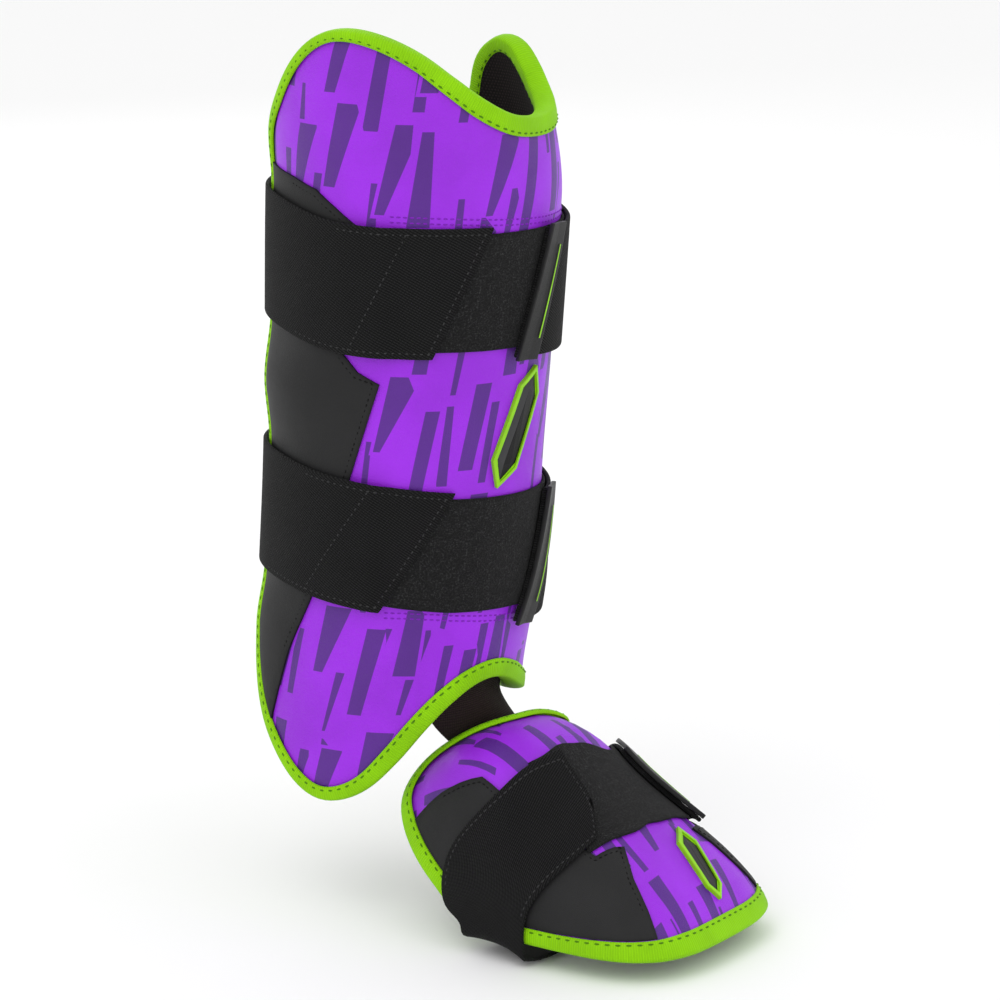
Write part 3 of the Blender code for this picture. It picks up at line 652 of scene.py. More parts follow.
def slab(
    name: str, middle: Array, shares: Array, width: float, wall: float, flat: Array,
    material: bpy.types.Material,
) -> bpy.types.Object:
    """Give a grid of points a wall with rounded long edges.

    Args:
        name: Name of the piece.
        middle: Grid of points half way through the wall; rows run along the piece.
        shares: Share across for each column.
        width: Width of the piece.
        wall: Its thickness.
        flat: Where each point lies on the cloth spread flat.
        material: Its finish.

    Returns:
        The new object.
    """
    along = np.gradient(middle, axis=0)
    across = np.gradient(middle, axis=1)
    normals = unit(np.cross(along, across))
    inside = np.minimum(shares, 1 - shares) * width
    bulge = np.sqrt(1 - (1 - np.clip(inside / (wall / 2), 0, 1)) ** 2) * wall / 2
    upper = middle + normals * bulge[None, :, None]
    lower = middle - normals * bulge[None, :, None]
    rings = np.concatenate([upper, lower[:, -2:0:-1]], axis=1)
    spread = np.concatenate([flat, flat[:, -2:0:-1]], axis=1)
    edge = np.broadcast_to(np.concatenate([inside, inside[-2:0:-1]]), rings.shape[:2])
    faces = ring_faces(rings.shape[0], rings.shape[1], closed=False)
    return make_piece(name, rings.reshape(-1, 3), faces, spread.reshape(-1, 2), material, edge.ravel())


def stitch_row(
    points: Array, normals: Array, length: float, thick: float
) -> tuple[Array, list[tuple[int, ...]]]:
    """Lay one short thread at each point of a line.

    Args:
        points: Middles of the stitches, in order.
        normals: Surface normals there.
        length: Length of a stitch.
        thick: Its thickness.

    Returns:
        The vertices and the faces of all the stitches.
    """
    along = unit(np.gradient(points, axis=0))
    side = unit(np.cross(normals, along))
    sections = ((-0.5, 0.15), (-0.34, 0.85), (0.0, 1.0), (0.34, 0.85), (0.5, 0.15))
    wide, sunk = 0.62, 0.9
    corners = [(math.cos(turn), math.sin(turn)) for turn in np.arange(6) * math.pi / 3]
    rings = []
    for reach, size in sections:
        for x, z in corners:
            spot = along * reach * length + side * x * thick * size * wide + normals * z * thick * size / 2
            rings.append(points + spot - normals * abs(reach) * thick * sunk)
    vertices = np.stack(rings, axis=1).reshape(-1, 3)
    single = ring_faces(len(sections), len(corners), closed=False)
    size = len(sections) * len(corners)
    starts = range(0, len(points) * size, size)
    return vertices, [tuple(index + start for index in face) for start in starts for face in single]


# Finishes


class Tree:
    """Builds a tree of shader nodes in few words."""

    def __init__(self, tree: bpy.types.NodeTree) -> None:
        """Work on a tree.

        Args:
            tree: The node tree of a material or a group.
        """
        self.tree = tree

    def lead(self, value: Socket, socket: Socket) -> None:
        """Link a value to a socket."""
        self.tree.links.new(value, socket)

    def fill(self, node: bpy.types.Node, inputs: dict[Any, Any]) -> bpy.types.Node:
        """Set a node's inputs, by name or number, to values or to the sockets that lead into them."""
        for key, value in inputs.items():
            if isinstance(value, Socket):
                self.lead(value, node.inputs[key])
            else:
                node.inputs[key].default_value = value
        return node

    def add(self, kind: str, inputs: dict[Any, Any] | None = None, **settings: Any) -> bpy.types.Node:
        """Add a node.

        Args:
            kind: Type of the node, without its ShaderNode prefix.
            inputs: Values or sockets for its inputs, by name or number.
            **settings: Values for its properties.

        Returns:
            The node.
        """
        node = self.tree.nodes.new("ShaderNode" + kind)
        for key, value in settings.items():
            setattr(node, key, value)
        return self.fill(node, inputs or {})

    def use(self, effect: bpy.types.NodeTree, **inputs: Any) -> bpy.types.Node:
        """Add a shared effect's group with its inputs, by name."""
        node = self.tree.nodes.new("ShaderNodeGroup")
        node.node_tree = effect
        return self.fill(node, inputs)

    def sum(self, operation: str, *values: Any) -> Socket:
        """Return the outcome of a Math node."""
        return self.add("Math", dict(enumerate(values)), operation=operation).outputs[0]

    def times(self, value: Any, factor: Any) -> Socket:
        """Return a value times a factor."""
        return self.sum("MULTIPLY", value, factor)

    def between(self, pair: Pair, share: Any) -> Socket:
        """Return the value a share of the way from the first of a pair to the second."""
        return self.sum("ADD", pair[0], self.times(share, pair[1] - pair[0]))

    def vector(self, operation: str, *values: Any) -> Socket:
        """Return the outcome of a Vector Math node."""
        return self.add("VectorMath", dict(enumerate(values)), operation=operation).outputs[0]

    def colour(self, share: Any, first: Any, second: Any) -> Socket:
        """Return a mix of two colours."""
        return self.add("Mix", {0: share, 6: first, 7: second}, data_type="RGBA").outputs[2]

    def darkened(self, share: Any, amount: float, colour: Any) -> Socket:
        """Return a colour darkened by an amount where a share is 1."""
        return self.colour(self.times(share, amount), colour, BLACK)

    def band(self, value: Any, low: float, high: float, to_low: float = 0.0, to_high: float = 1.0) -> Socket:
        """Return a value mapped smoothly from one range to another."""
        inputs = {"Value": value, "From Min": low, "From Max": high, "To Min": to_low, "To Max": to_high}
        return self.add("MapRange", inputs, interpolation_type="SMOOTHSTEP").outputs[0]

    def noise(self, place: Any, scale: Any, detail: float, roughness: float = 0.5) -> Socket:
        """Return a noise's value at a place."""
        inputs = {"Vector": place, "Scale": scale, "Detail": detail, "Roughness": roughness}
        return self.add("TexNoise", inputs).outputs[0]

    def parts(self, vector: Any) -> tuple[Socket, ...]:
        """Return the three parts of a vector."""
        return tuple(self.add("SeparateXYZ", {0: vector}).outputs)


def new_group(name: str, inputs: dict[str, tuple[str, Any]], outputs: Sequence[str]) -> tuple[Tree, Any, Any]:
    """Start a shader node group.

    Args:
        name: Name of the group.
        inputs: Kind and value of each input.
        outputs: Names of the values that it puts out.

    Returns:
        The group's tree, its input node and its output node.
    """
    group = bpy.data.node_groups.new(name, "ShaderNodeTree")
    for label, (kind, value) in inputs.items():
        socket = group.interface.new_socket(name=label, in_out="INPUT", socket_type=kind)
        if value is not None:
            socket.default_value = value
    for label in outputs:
        group.interface.new_socket(name=label, in_out="OUTPUT", socket_type="NodeSocketFloat")
    return Tree(group), group.nodes.new("NodeGroupInput"), group.nodes.new("NodeGroupOutput")


class Effects:
    """The effects that several finishes share, each a node group built once."""

    def __init__(self) -> None:
        """Build the groups."""
        self.grain = self.build_grain()
        self.ribs = self.build_ribs()
        self.drift = self.build_drift()
        self.shade_and_wear = self.build_edge_shade_and_wear()

    @staticmethod
    def build_grain() -> bpy.types.NodeTree:
        """Return the pebbled grain of synthetic leather; Scale is in pebbles to the metre."""
        inputs = {"Vector": ("NodeSocketVector", None), "Scale": ("NodeSocketFloat", 900.0)}
        tree, given, result = new_group("hide_grain", inputs, ["Height"])
        place = tree.vector("SCALE", given.outputs["Vector"])
        tree.lead(given.outputs["Scale"], place.node.inputs["Scale"])
        bend = tree.add("TexNoise", {"Vector": place, "Scale": 0.6, "Detail": 1.0}).outputs["Color"]
        spot = tree.vector("ADD", place, tree.vector("MULTIPLY", bend, (0.9, 0.9, 0.9)))
        cells = tree.add("TexVoronoi", {"Vector": spot, "Scale": 1.0}, feature="DISTANCE_TO_EDGE")
        pebbles = tree.band(cells.outputs["Distance"], 0.0, 0.28)
        height = tree.sum("ADD", pebbles, tree.times(tree.noise(place, 3.0, 2.0), 0.5))
        tree.lead(height, result.inputs["Height"])
        return tree.tree

    @staticmethod
    def build_ribs() -> bpy.types.NodeTree:
        """Return woven ribs; Pitch is a rib's width and Slant its lean, over cloth in metres."""
        inputs = {
            "Vector": ("NodeSocketVector", None),
            "Pitch": ("NodeSocketFloat", 0.001),
            "Slant": ("NodeSocketFloat", 0.5),
            "Step": ("NodeSocketFloat", 0.0007),
        }
        tree, given, result = new_group("cloth_ribs", inputs, ["Height", "Valley"])
        x, y, _ = tree.parts(given.outputs["Vector"])
        lean = tree.sum("ADD", y, tree.times(x, given.outputs["Slant"]))
        turn = tree.times(tree.sum("DIVIDE", lean, given.outputs["Pitch"]), 2 * math.pi)
        rib = tree.band(tree.sum("SINE", turn), -0.9, 0.6)
        phase = tree.times(tree.sum("DIVIDE", x, given.outputs["Step"]), 2 * math.pi)
        wave = tree.sum("SINE", tree.sum("ADD", phase, tree.times(turn, 0.5)))
        height = tree.times(rib, tree.band(wave, -1.0, 0.4, 0.55, 1.0))
        tree.lead(height, result.inputs["Height"])
        tree.lead(tree.sum("SUBTRACT", 1.0, height), result.inputs["Valley"])
        return tree.tree

    @staticmethod
    def build_drift() -> bpy.types.NodeTree:
        """Return the slow change of tone that handling and light scuffs leave."""
        inputs = {"Vector": ("NodeSocketVector", None), "Scale": ("NodeSocketFloat", 25.0)}
        tree, given, result = new_group("tone_drift", inputs, ["Tone", "Scuff"])
        slow = tree.noise(given.outputs["Vector"], given.outputs["Scale"], 3.0)
        fast = tree.noise(given.outputs["Vector"], 420.0, 4.0, 0.7)
        tree.lead(tree.band(slow, 0.3, 0.7), result.inputs["Tone"])
        scuff = tree.times(tree.band(fast, 0.6, 0.75), tree.band(slow, 0.45, 0.7))
        tree.lead(scuff, result.inputs["Scuff"])
        return tree.tree

    @staticmethod
    def build_edge_shade_and_wear() -> bpy.types.NodeTree:
        """Return how near a point is to its piece's edge, broken up by noise: the hide and the loop fabric darken
        there as painted shade, and ribbed cloth lightens there as rubbed wear.
        """
        inputs = {"Vector": ("NodeSocketVector", None), "Reach": ("NodeSocketFloat", 0.0015)}
        tree, given, result = new_group("edge_shade_and_wear", inputs, ["Near"])
        edge = tree.add("Attribute", attribute_name="edge", attribute_type="GEOMETRY").outputs["Fac"]
        noise = tree.noise(given.outputs["Vector"], 300.0, 2.0)
        share = tree.sum("DIVIDE", edge, given.outputs["Reach"])
        near = tree.band(tree.sum("ADD", share, tree.times(noise, 0.5)), 1.3, 0.2)
        tree.lead(near, result.inputs["Near"])
        return tree.tree


class Ink(Enum):
    """The guard's colours, as linear red, green and blue."""

    PURPLE = (0.328, 0.019, 0.768)
    DEEP_PURPLE = (0.098, 0.017, 0.265)
    SEAM_PURPLE = (0.250, 0.020, 0.560)
    LIME = (0.288, 0.680, 0.002)
    DARK_LIME = (0.085, 0.250, 0.001)
    CHARCOAL = (0.0185, 0.0185, 0.0190)
    STRAP = (0.0170, 0.0170, 0.0172)
    STRAP_VALLEY = (0.0030, 0.0030, 0.0032)
    FELT = (0.0050, 0.0050, 0.0052)
    # Painted highlight on the loop fabric's fibres
    FIBRE = (0.0620, 0.0620, 0.0640)
    LINING = (0.0060, 0.0038, 0.0042)
    LINING_DOT = (0.0210, 0.0140, 0.0140)
    KNIT = (0.0110, 0.0062, 0.0066)
    KNIT_RIB = (0.0330, 0.0210, 0.0190)
    RUBBER = (0.0100, 0.0100, 0.0104)
    FACET = (0.0480, 0.0480, 0.0500)
    GLOSS = (0.0022, 0.0022, 0.0024)
    THREAD = (0.0040, 0.0040, 0.0040)
    # Painted highlight: thread lighter than the black thread, for the glints on the strap stitches
    WORN_THREAD = (0.0420, 0.0420, 0.0430)

    @property
    def rgba(self) -> tuple[float, float, float, float]:
        """The colour with a full alpha."""
        return (*self.value, 1.0)


@dataclass(frozen=True)
class Finish(ABC):
    """A finish that can be made into a material."""

    name: str
    roughness: float
    shine: float = 0.12

    def make(self, effects: Effects) -> bpy.types.Material:
        """Return the finish as a material.

        Args:
            effects: The shared node groups.

        Returns:
            The material.
        """
        material = bpy.data.materials.new(self.name)
        material.use_nodes = True
        tree = Tree(material.node_tree)
        shader = material.node_tree.nodes["Principled BSDF"]
        tree.fill(shader, {"Roughness": self.roughness, "Specular IOR Level": self.shine})
        cloth = tree.add("UVMap", uv_map="cloth").outputs[0]
        self.dress(tree, shader, cloth, effects)
        return material

    @abstractmethod
    def dress(self, tree: Tree, shader: bpy.types.Node, cloth: Socket, effects: Effects) -> None:
        """Lead the finish's pattern into the shader.

        Args:
            tree: The material's tree.
            shader: Its shader.
            cloth: Place on the cloth spread flat, in metres.
            effects: The shared node groups.
        """

    @staticmethod
    def bump(tree: Tree, shader: bpy.types.Node, height: Any, depth: float) -> None:
        """Let a height of up to depth metres show in the shader's normal."""
        node = tree.add("Bump", {"Height": height, "Strength": 1.0, "Distance": depth})
        tree.lead(node.outputs[0], shader.inputs["Normal"])


@dataclass(frozen=True)
class StrokeLayer:
    """One scatter of printed strokes, each in a cell of its own; a pair is the least and the most.

    lean is a stroke's slope, shift moves the scatter so that layers differ, kept is the share of the cells
    that keep their stroke, clear_space the room round a stroke, and its edges fade over fade times blur.
    """

    cell: Pair
    lean: Pair
    half_width: Pair
    half_length: Pair
    shift: float
    kept: float
    clear_space: float = 0.0016
    blur: float = 0.0002
    fade: float = 0.7
    even_taper: float = 0.35

    def build(self, tree: Tree, cloth: Socket) -> tuple[Socket, Socket]:
        """Scatter the strokes over the cloth.

        Args:
            tree: The material's tree.
            cloth: Place on the cloth, in metres.

        Returns:
            1 on a stroke and 0 off it, and the same for the stroke with the clear space round it.
        """
        moved = tree.vector("ADD", cloth, (self.shift, self.shift * 1.7, 0.0))
        scaled = tree.vector("DIVIDE", moved, (*self.cell, 1.0))
        inputs = {"Vector": scaled, "Scale": 1.0, "Randomness": 0.6}
        cells = tree.add("TexVoronoi", inputs, feature="F1", voronoi_dimensions="2D").outputs
        aside = tree.vector("SUBTRACT", scaled, cells["Position"])
        x, y, _ = tree.parts(tree.vector("MULTIPLY", aside, (*self.cell, 0.0)))
        chance = tree.add("SeparateColor", {0: cells["Color"]}).outputs
        slope = tree.between(self.lean, chance[0])
        half = tree.between(self.half_width, chance[1])
        reach = tree.between(self.half_length, chance[2])
        off = tree.sum("ABSOLUTE", tree.sum("SUBTRACT", x, tree.times(y, slope)))
        taper = tree.times(tree.sum("DIVIDE", y, reach), tree.sum("SUBTRACT", chance[0], self.even_taper))
        edge = tree.times(half, tree.sum("ADD", 1.0, taper))
        over = tree.sum("DIVIDE", tree.sum("SUBTRACT", off, edge), self.blur)
        past = tree.sum("DIVIDE", tree.sum("SUBTRACT", tree.sum("ABSOLUTE", y), reach), self.blur)
        away = tree.sum("MAXIMUM", over, past)
        shown = tree.sum("LESS_THAN", chance[1], self.kept)
        space = self.clear_space / self.blur
        stroke = tree.band(away, self.fade, -self.fade)
        room = tree.band(away, space + self.fade, space - self.fade)
        return tree.times(stroke, shown), tree.times(room, shown)


@dataclass(frozen=True)
class HideFinish(Finish):
    """Synthetic leather with a fine grain, plain or printed with slanted strokes."""

    ink: Ink = Ink.CHARCOAL
    print_ink: Ink | None = None
    grain: float = 1100.0
    depth: float = 0.00006
    layers: tuple[StrokeLayer, ...] = (
        StrokeLayer((0.023, 0.056), (0.06, 0.34), (0.0030, 0.0046), (0.014, 0.025), 0.013, 0.95),
        StrokeLayer((0.018, 0.052), (0.02, 0.30), (0.0014, 0.0026), (0.012, 0.022), 0.171, 0.85),
    )

    def printed(self, tree: Tree, cloth: Socket) -> Any:
        """Return the ink with the print on it, or the bare ink where there is no print."""
        if self.print_ink is None:
            return self.ink.rgba
        marks, taken = self.layers[0].build(tree, cloth)
        for layer in self.layers[1:]:
            stroke, space = layer.build(tree, cloth)
            free = tree.sum("SUBTRACT", 1.0, taken)
            marks = tree.sum("MAXIMUM", marks, tree.times(stroke, free))
            taken = tree.sum("MAXIMUM", taken, space)
        return tree.colour(marks, self.ink.rgba, self.print_ink.rgba)

    def dress(self, tree: Tree, shader: bpy.types.Node, cloth: Socket, effects: Effects) -> None:
        """Lead the hide's tone, print, painted shade near its edges and grain into the shader."""
        drift = tree.use(effects.drift, Vector=cloth, Scale=22.0)
        shade_and_wear = tree.use(effects.shade_and_wear, Vector=cloth, Reach=0.0016)
        toned = tree.darkened(drift.outputs["Tone"], 0.16, self.printed(tree, cloth))
        # Painted shade: the hide is darkened near its edges, a shadow line along the binding and the seams.
        tree.lead(tree.darkened(shade_and_wear.outputs["Near"], 0.35, toned), shader.inputs["Base Color"])
        rough = tree.between((self.roughness - 0.04, self.roughness + 0.04), drift.outputs["Tone"])
        rough = tree.sum("ADD", rough, tree.times(drift.outputs["Scuff"], 0.12))
        tree.lead(rough, shader.inputs["Roughness"])
        grain = tree.use(effects.grain, Vector=cloth, Scale=self.grain)
        swell = tree.times(tree.noise(cloth, 60.0, 2.0), 3.0)
        self.bump(tree, shader, tree.sum("ADD", grain.outputs["Height"], swell), self.depth)


@dataclass(frozen=True)
class RibFinish(Finish):
    """Cloth with ribs: webbing, binding tape or knit."""

    ink: Ink = Ink.STRAP
    valley: Ink = Ink.STRAP_VALLEY
    pitch: float = 0.001
    slant: float = 0.5
    step: float = 0.0007
    depth: float = 0.00012
    fade: float = 1.0

    def dress(self, tree: Tree, shader: bpy.types.Node, cloth: Socket, effects: Effects) -> None:
        """Lead the ribs' colour and height into the shader."""
        ribs = tree.use(effects.ribs, Vector=cloth, Pitch=self.pitch, Slant=self.slant, Step=self.step)
        drift = tree.use(effects.drift, Vector=cloth, Scale=40.0)
        shade_and_wear = tree.use(effects.shade_and_wear, Vector=cloth, Reach=0.0012)
        base = tree.colour(tree.times(ribs.outputs["Valley"], self.fade), self.ink.rgba, self.valley.rgba)
        toned = tree.darkened(drift.outputs["Tone"], 0.14, base)
        # Ribbed cloth is lighter near its edges, where it is rubbed.
        light = tree.colour(tree.times(shade_and_wear.outputs["Near"], 0.25), toned, self.ink.rgba)
        tree.lead(light, shader.inputs["Base Color"])
        tree.fill(shader, {"Sheen Weight": 0.02, "Sheen Roughness": 0.45})
        fuzz = tree.times(tree.noise(cloth, 2600.0, 2.0), 0.35)
        self.bump(tree, shader, tree.sum("ADD", ribs.outputs["Height"], fuzz), self.depth)


@dataclass(frozen=True)
class MeshFinish(Finish):
    """Knitted lining with rows of small raised dots."""

    ink: Ink = Ink.LINING
    dot: Ink = Ink.LINING_DOT
    pitch: float = 0.0022
    row_share: float = 0.62
    depth: float = 0.00018

    def dress(self, tree: Tree, shader: bpy.types.Node, cloth: Socket, effects: Effects) -> None:
        """Lead the dots' colour and height into the shader."""
        x, y, _ = tree.parts(cloth)
        row = tree.sum("DIVIDE", y, self.pitch * self.row_share)
        odd = tree.times(tree.sum("FLOORED_MODULO", tree.sum("FLOOR", row), 2.0), 0.5)
        place = tree.sum("ADD", tree.sum("DIVIDE", x, self.pitch), odd)
        across, up = (tree.sum("SUBTRACT", tree.sum("FRACT", value), 0.5) for value in (place, row))
        dots = tree.band(tree.sum("ADD", tree.times(across, across), tree.times(up, up)), 0.12, 0.03)
        drift = tree.use(effects.drift, Vector=cloth, Scale=30.0)
        toned = tree.darkened(drift.outputs["Tone"], 0.2, tree.colour(dots, self.ink.rgba, self.dot.rgba))
        tree.lead(toned, shader.inputs["Base Color"])
        tree.fill(shader, {"Sheen Weight": 0.03})
        self.bump(tree, shader, dots, self.depth)


@dataclass(frozen=True)
class FeltFinish(Finish):
    """Brushed loop fabric: short tangled fibres, with painted highlights in pale specks where they catch the
    light.
    """

    ink: Ink = Ink.FELT
    fibre_glint: Ink = Ink.FIBRE
    depth: float = 0.0009

    def dress(self, tree: Tree, shader: bpy.types.Node, cloth: Socket, effects: Effects) -> None:
        """Lead the fibres' colour with its painted highlights and painted shade, and their height, into the
        shader.
        """
        loops = tree.noise(cloth, 1100.0, 4.0, 0.75)
        clumps = tree.noise(cloth, 260.0, 3.0)
        shade_and_wear = tree.use(effects.shade_and_wear, Vector=cloth, Reach=0.0020)
        # Painted highlight: pale specks where the fibre loops catch the light.
        pale = tree.times(tree.band(loops, 0.45, 0.75), tree.band(clumps, 0.3, 0.7, 0.35, 1.0))
        base = tree.colour(pale, self.ink.rgba, self.fibre_glint.rgba)
        # Painted shade: the loop fabric is darkened near its edges.
        tree.lead(tree.darkened(shade_and_wear.outputs["Near"], 0.5, base), shader.inputs["Base Color"])
        tree.fill(shader, {"Sheen Weight": 0.05, "Sheen Roughness": 0.6})
        self.bump(tree, shader, tree.sum("ADD", loops, tree.times(clumps, 0.8)), self.depth)


@dataclass(frozen=True)
class MouldedFinish(Finish):
    """Moulded rubber or lacquered plastic with a faint cast texture."""

    ink: Ink = Ink.RUBBER
    coat: float = 0.0
    texture: float = 0.00003

    def dress(self, tree: Tree, shader: bpy.types.Node, cloth: Socket, effects: Effects) -> None:
        """Lead the moulding's tone and cast texture into the shader."""
        place = tree.add("TexCoord").outputs["Object"]
        drift = tree.use(effects.drift, Vector=place, Scale=60.0)
        tree.lead(tree.darkened(drift.outputs["Tone"], 0.2, self.ink.rgba), shader.inputs["Base Color"])
        rough = tree.sum("ADD", self.roughness, tree.times(drift.outputs["Scuff"], 0.15))
        tree.lead(rough, shader.inputs["Roughness"])
        tree.fill(shader, {"Coat Weight": self.coat})
        grain = tree.use(effects.grain, Vector=place, Scale=2200.0)
        self.bump(tree, shader, grain.outputs["Height"], self.texture)


@dataclass(frozen=True)
class ThreadFinish(Finish):
    """Sewing thread with its twist."""

    ink: Ink = Ink.THREAD
    depth: float = 0.00005

    def dress(self, tree: Tree, shader: bpy.types.Node, cloth: Socket, effects: Effects) -> None:
        """Lead the thread's twist into the shader."""
        inputs = {"Vector": tree.add("TexCoord").outputs["Object"], "Scale": 900.0, "Distortion": 1.5}
        twist = tree.add("TexWave", inputs, bands_direction="DIAGONAL").outputs["Fac"]
        tree.lead(tree.darkened(twist, 0.35, self.ink.rgba), shader.inputs["Base Color"])
        tree.fill(shader, {"Sheen Weight": 0.03})
        self.bump(tree, shader, twist, self.depth)


class Wardrobe:
    """All the finishes as materials, by name."""

    def __init__(self) -> None:
        """Make the materials."""
        effects = Effects()
        finishes: list[Finish] = [
            HideFinish("printed_hide", 0.42, 0.30, ink=Ink.PURPLE, print_ink=Ink.DEEP_PURPLE),
            HideFinish("plain_hide", 0.55, 0.16, ink=Ink.CHARCOAL, grain=1500.0, depth=0.00004),
            RibFinish("binding_tape", 0.62, ink=Ink.LIME, valley=Ink.DARK_LIME, pitch=0.0160, slant=14.0,
                      step=0.0011, depth=0.00016, fade=0.20),
            RibFinish("webbing", 0.80, ink=Ink.STRAP, valley=Ink.STRAP_VALLEY, pitch=0.00125, slant=-0.55,
                      step=0.0012, depth=0.00045),
            RibFinish("ankle_knit", 0.85, ink=Ink.KNIT_RIB, valley=Ink.KNIT, pitch=0.0013, slant=-0.55,
                      step=0.0009, depth=0.00022, fade=1.0),
            MeshFinish("mesh_lining", 0.85),
            FeltFinish("loop_fabric", 0.92),
            MouldedFinish("moulded_rubber", 0.42, 0.30, ink=Ink.RUBBER),
            MouldedFinish("lime_moulding", 0.40, 0.25, ink=Ink.LIME, coat=0.2),
            MouldedFinish("gloss_black", 0.30, 0.12, ink=Ink.GLOSS, texture=0.00001),
            MouldedFinish("grey_facet", 0.34, 0.20, ink=Ink.FACET, texture=0.00001),
            ThreadFinish("lime_thread", 0.6, ink=Ink.DARK_LIME),
            ThreadFinish("black_thread", 0.6, ink=Ink.THREAD),
            # Painted highlight: the strap stitches' thread is lighter grey than the black thread, standing in for
            # their glints.
            ThreadFinish("grey_thread", 0.7, ink=Ink.WORN_THREAD),
            ThreadFinish("purple_thread", 0.6, ink=Ink.SEAM_PURPLE),
        ]
        self.materials = {finish.name: finish.make(effects) for finish in finishes}

    def __getitem__(self, name: str) -> bpy.types.Material:
        """Return the material of a name."""
        return self.materials[name]


# Handing pieces to the frame


class Slot(Enum):
    """The record's material slots."""

    PURPLE = "purple"
    LIME = "lime"
    LINING = "lining"
    CHARCOAL = "charcoal"
    BLACK = "black"
    FELT = "felt"
    RUBBER = "rubber"


def hand_over(piece: bpy.types.Object, node: str | None = None) -> bpy.types.Object:
    """Let a piece ride on the part and stand for its node.

    Args:
        piece: The piece.
        node: CAD node that it stands for.

    Returns:
        The piece.
    """
    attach(piece, "root")
    if node is not None:
        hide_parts(node)
    LOG.info("%s: %d faces", piece.name, len(piece.data.polygons))
    return piece


def cut_size(flat: Array) -> Pair:
    """Return the sides of the smallest box round an outline laid flat, the shorter one first."""
    sizes = []
    for turn in np.radians(np.arange(0.0, 90.0)):
        ways = np.array([[math.cos(turn), -math.sin(turn)], [math.sin(turn), math.cos(turn)]])
        sizes.append(np.ptp(flat @ ways, axis=0))
    short, long = sorted(min(sizes, key=np.prod))
    return round(float(short), 3), round(float(long), 3)


@dataclass
class Sewing:
    """Stitches of one thread, gathered into one piece."""

    name: str
    thread: str
    slot: Slot
    vertices: list[Array] = field(default_factory=list)
    faces: list[tuple[int, ...]] = field(default_factory=list)

    def add(self, points: Array, normals: Array, length: float, thick: float) -> None:
        """Add a row of stitches.

        Args:
            points: Middles of the stitches.
            normals: Surface normals there.
            length: Length of a stitch.
            thick: Its thickness.
        """
        vertices, faces = stitch_row(points, normals, length, thick)
        start = sum(len(old) for old in self.vertices)
        self.vertices.append(vertices)
        self.faces.extend(tuple(index + start for index in face) for face in faces)

    def finish(self, wardrobe: Wardrobe) -> None:
        """Make the gathered stitches into a piece."""
        points = np.vstack(self.vertices)
        piece = make_piece(self.name, points, self.faces, points[:, :2], wardrobe[self.thread])
        hand_over(piece)


# Sub-assemblies


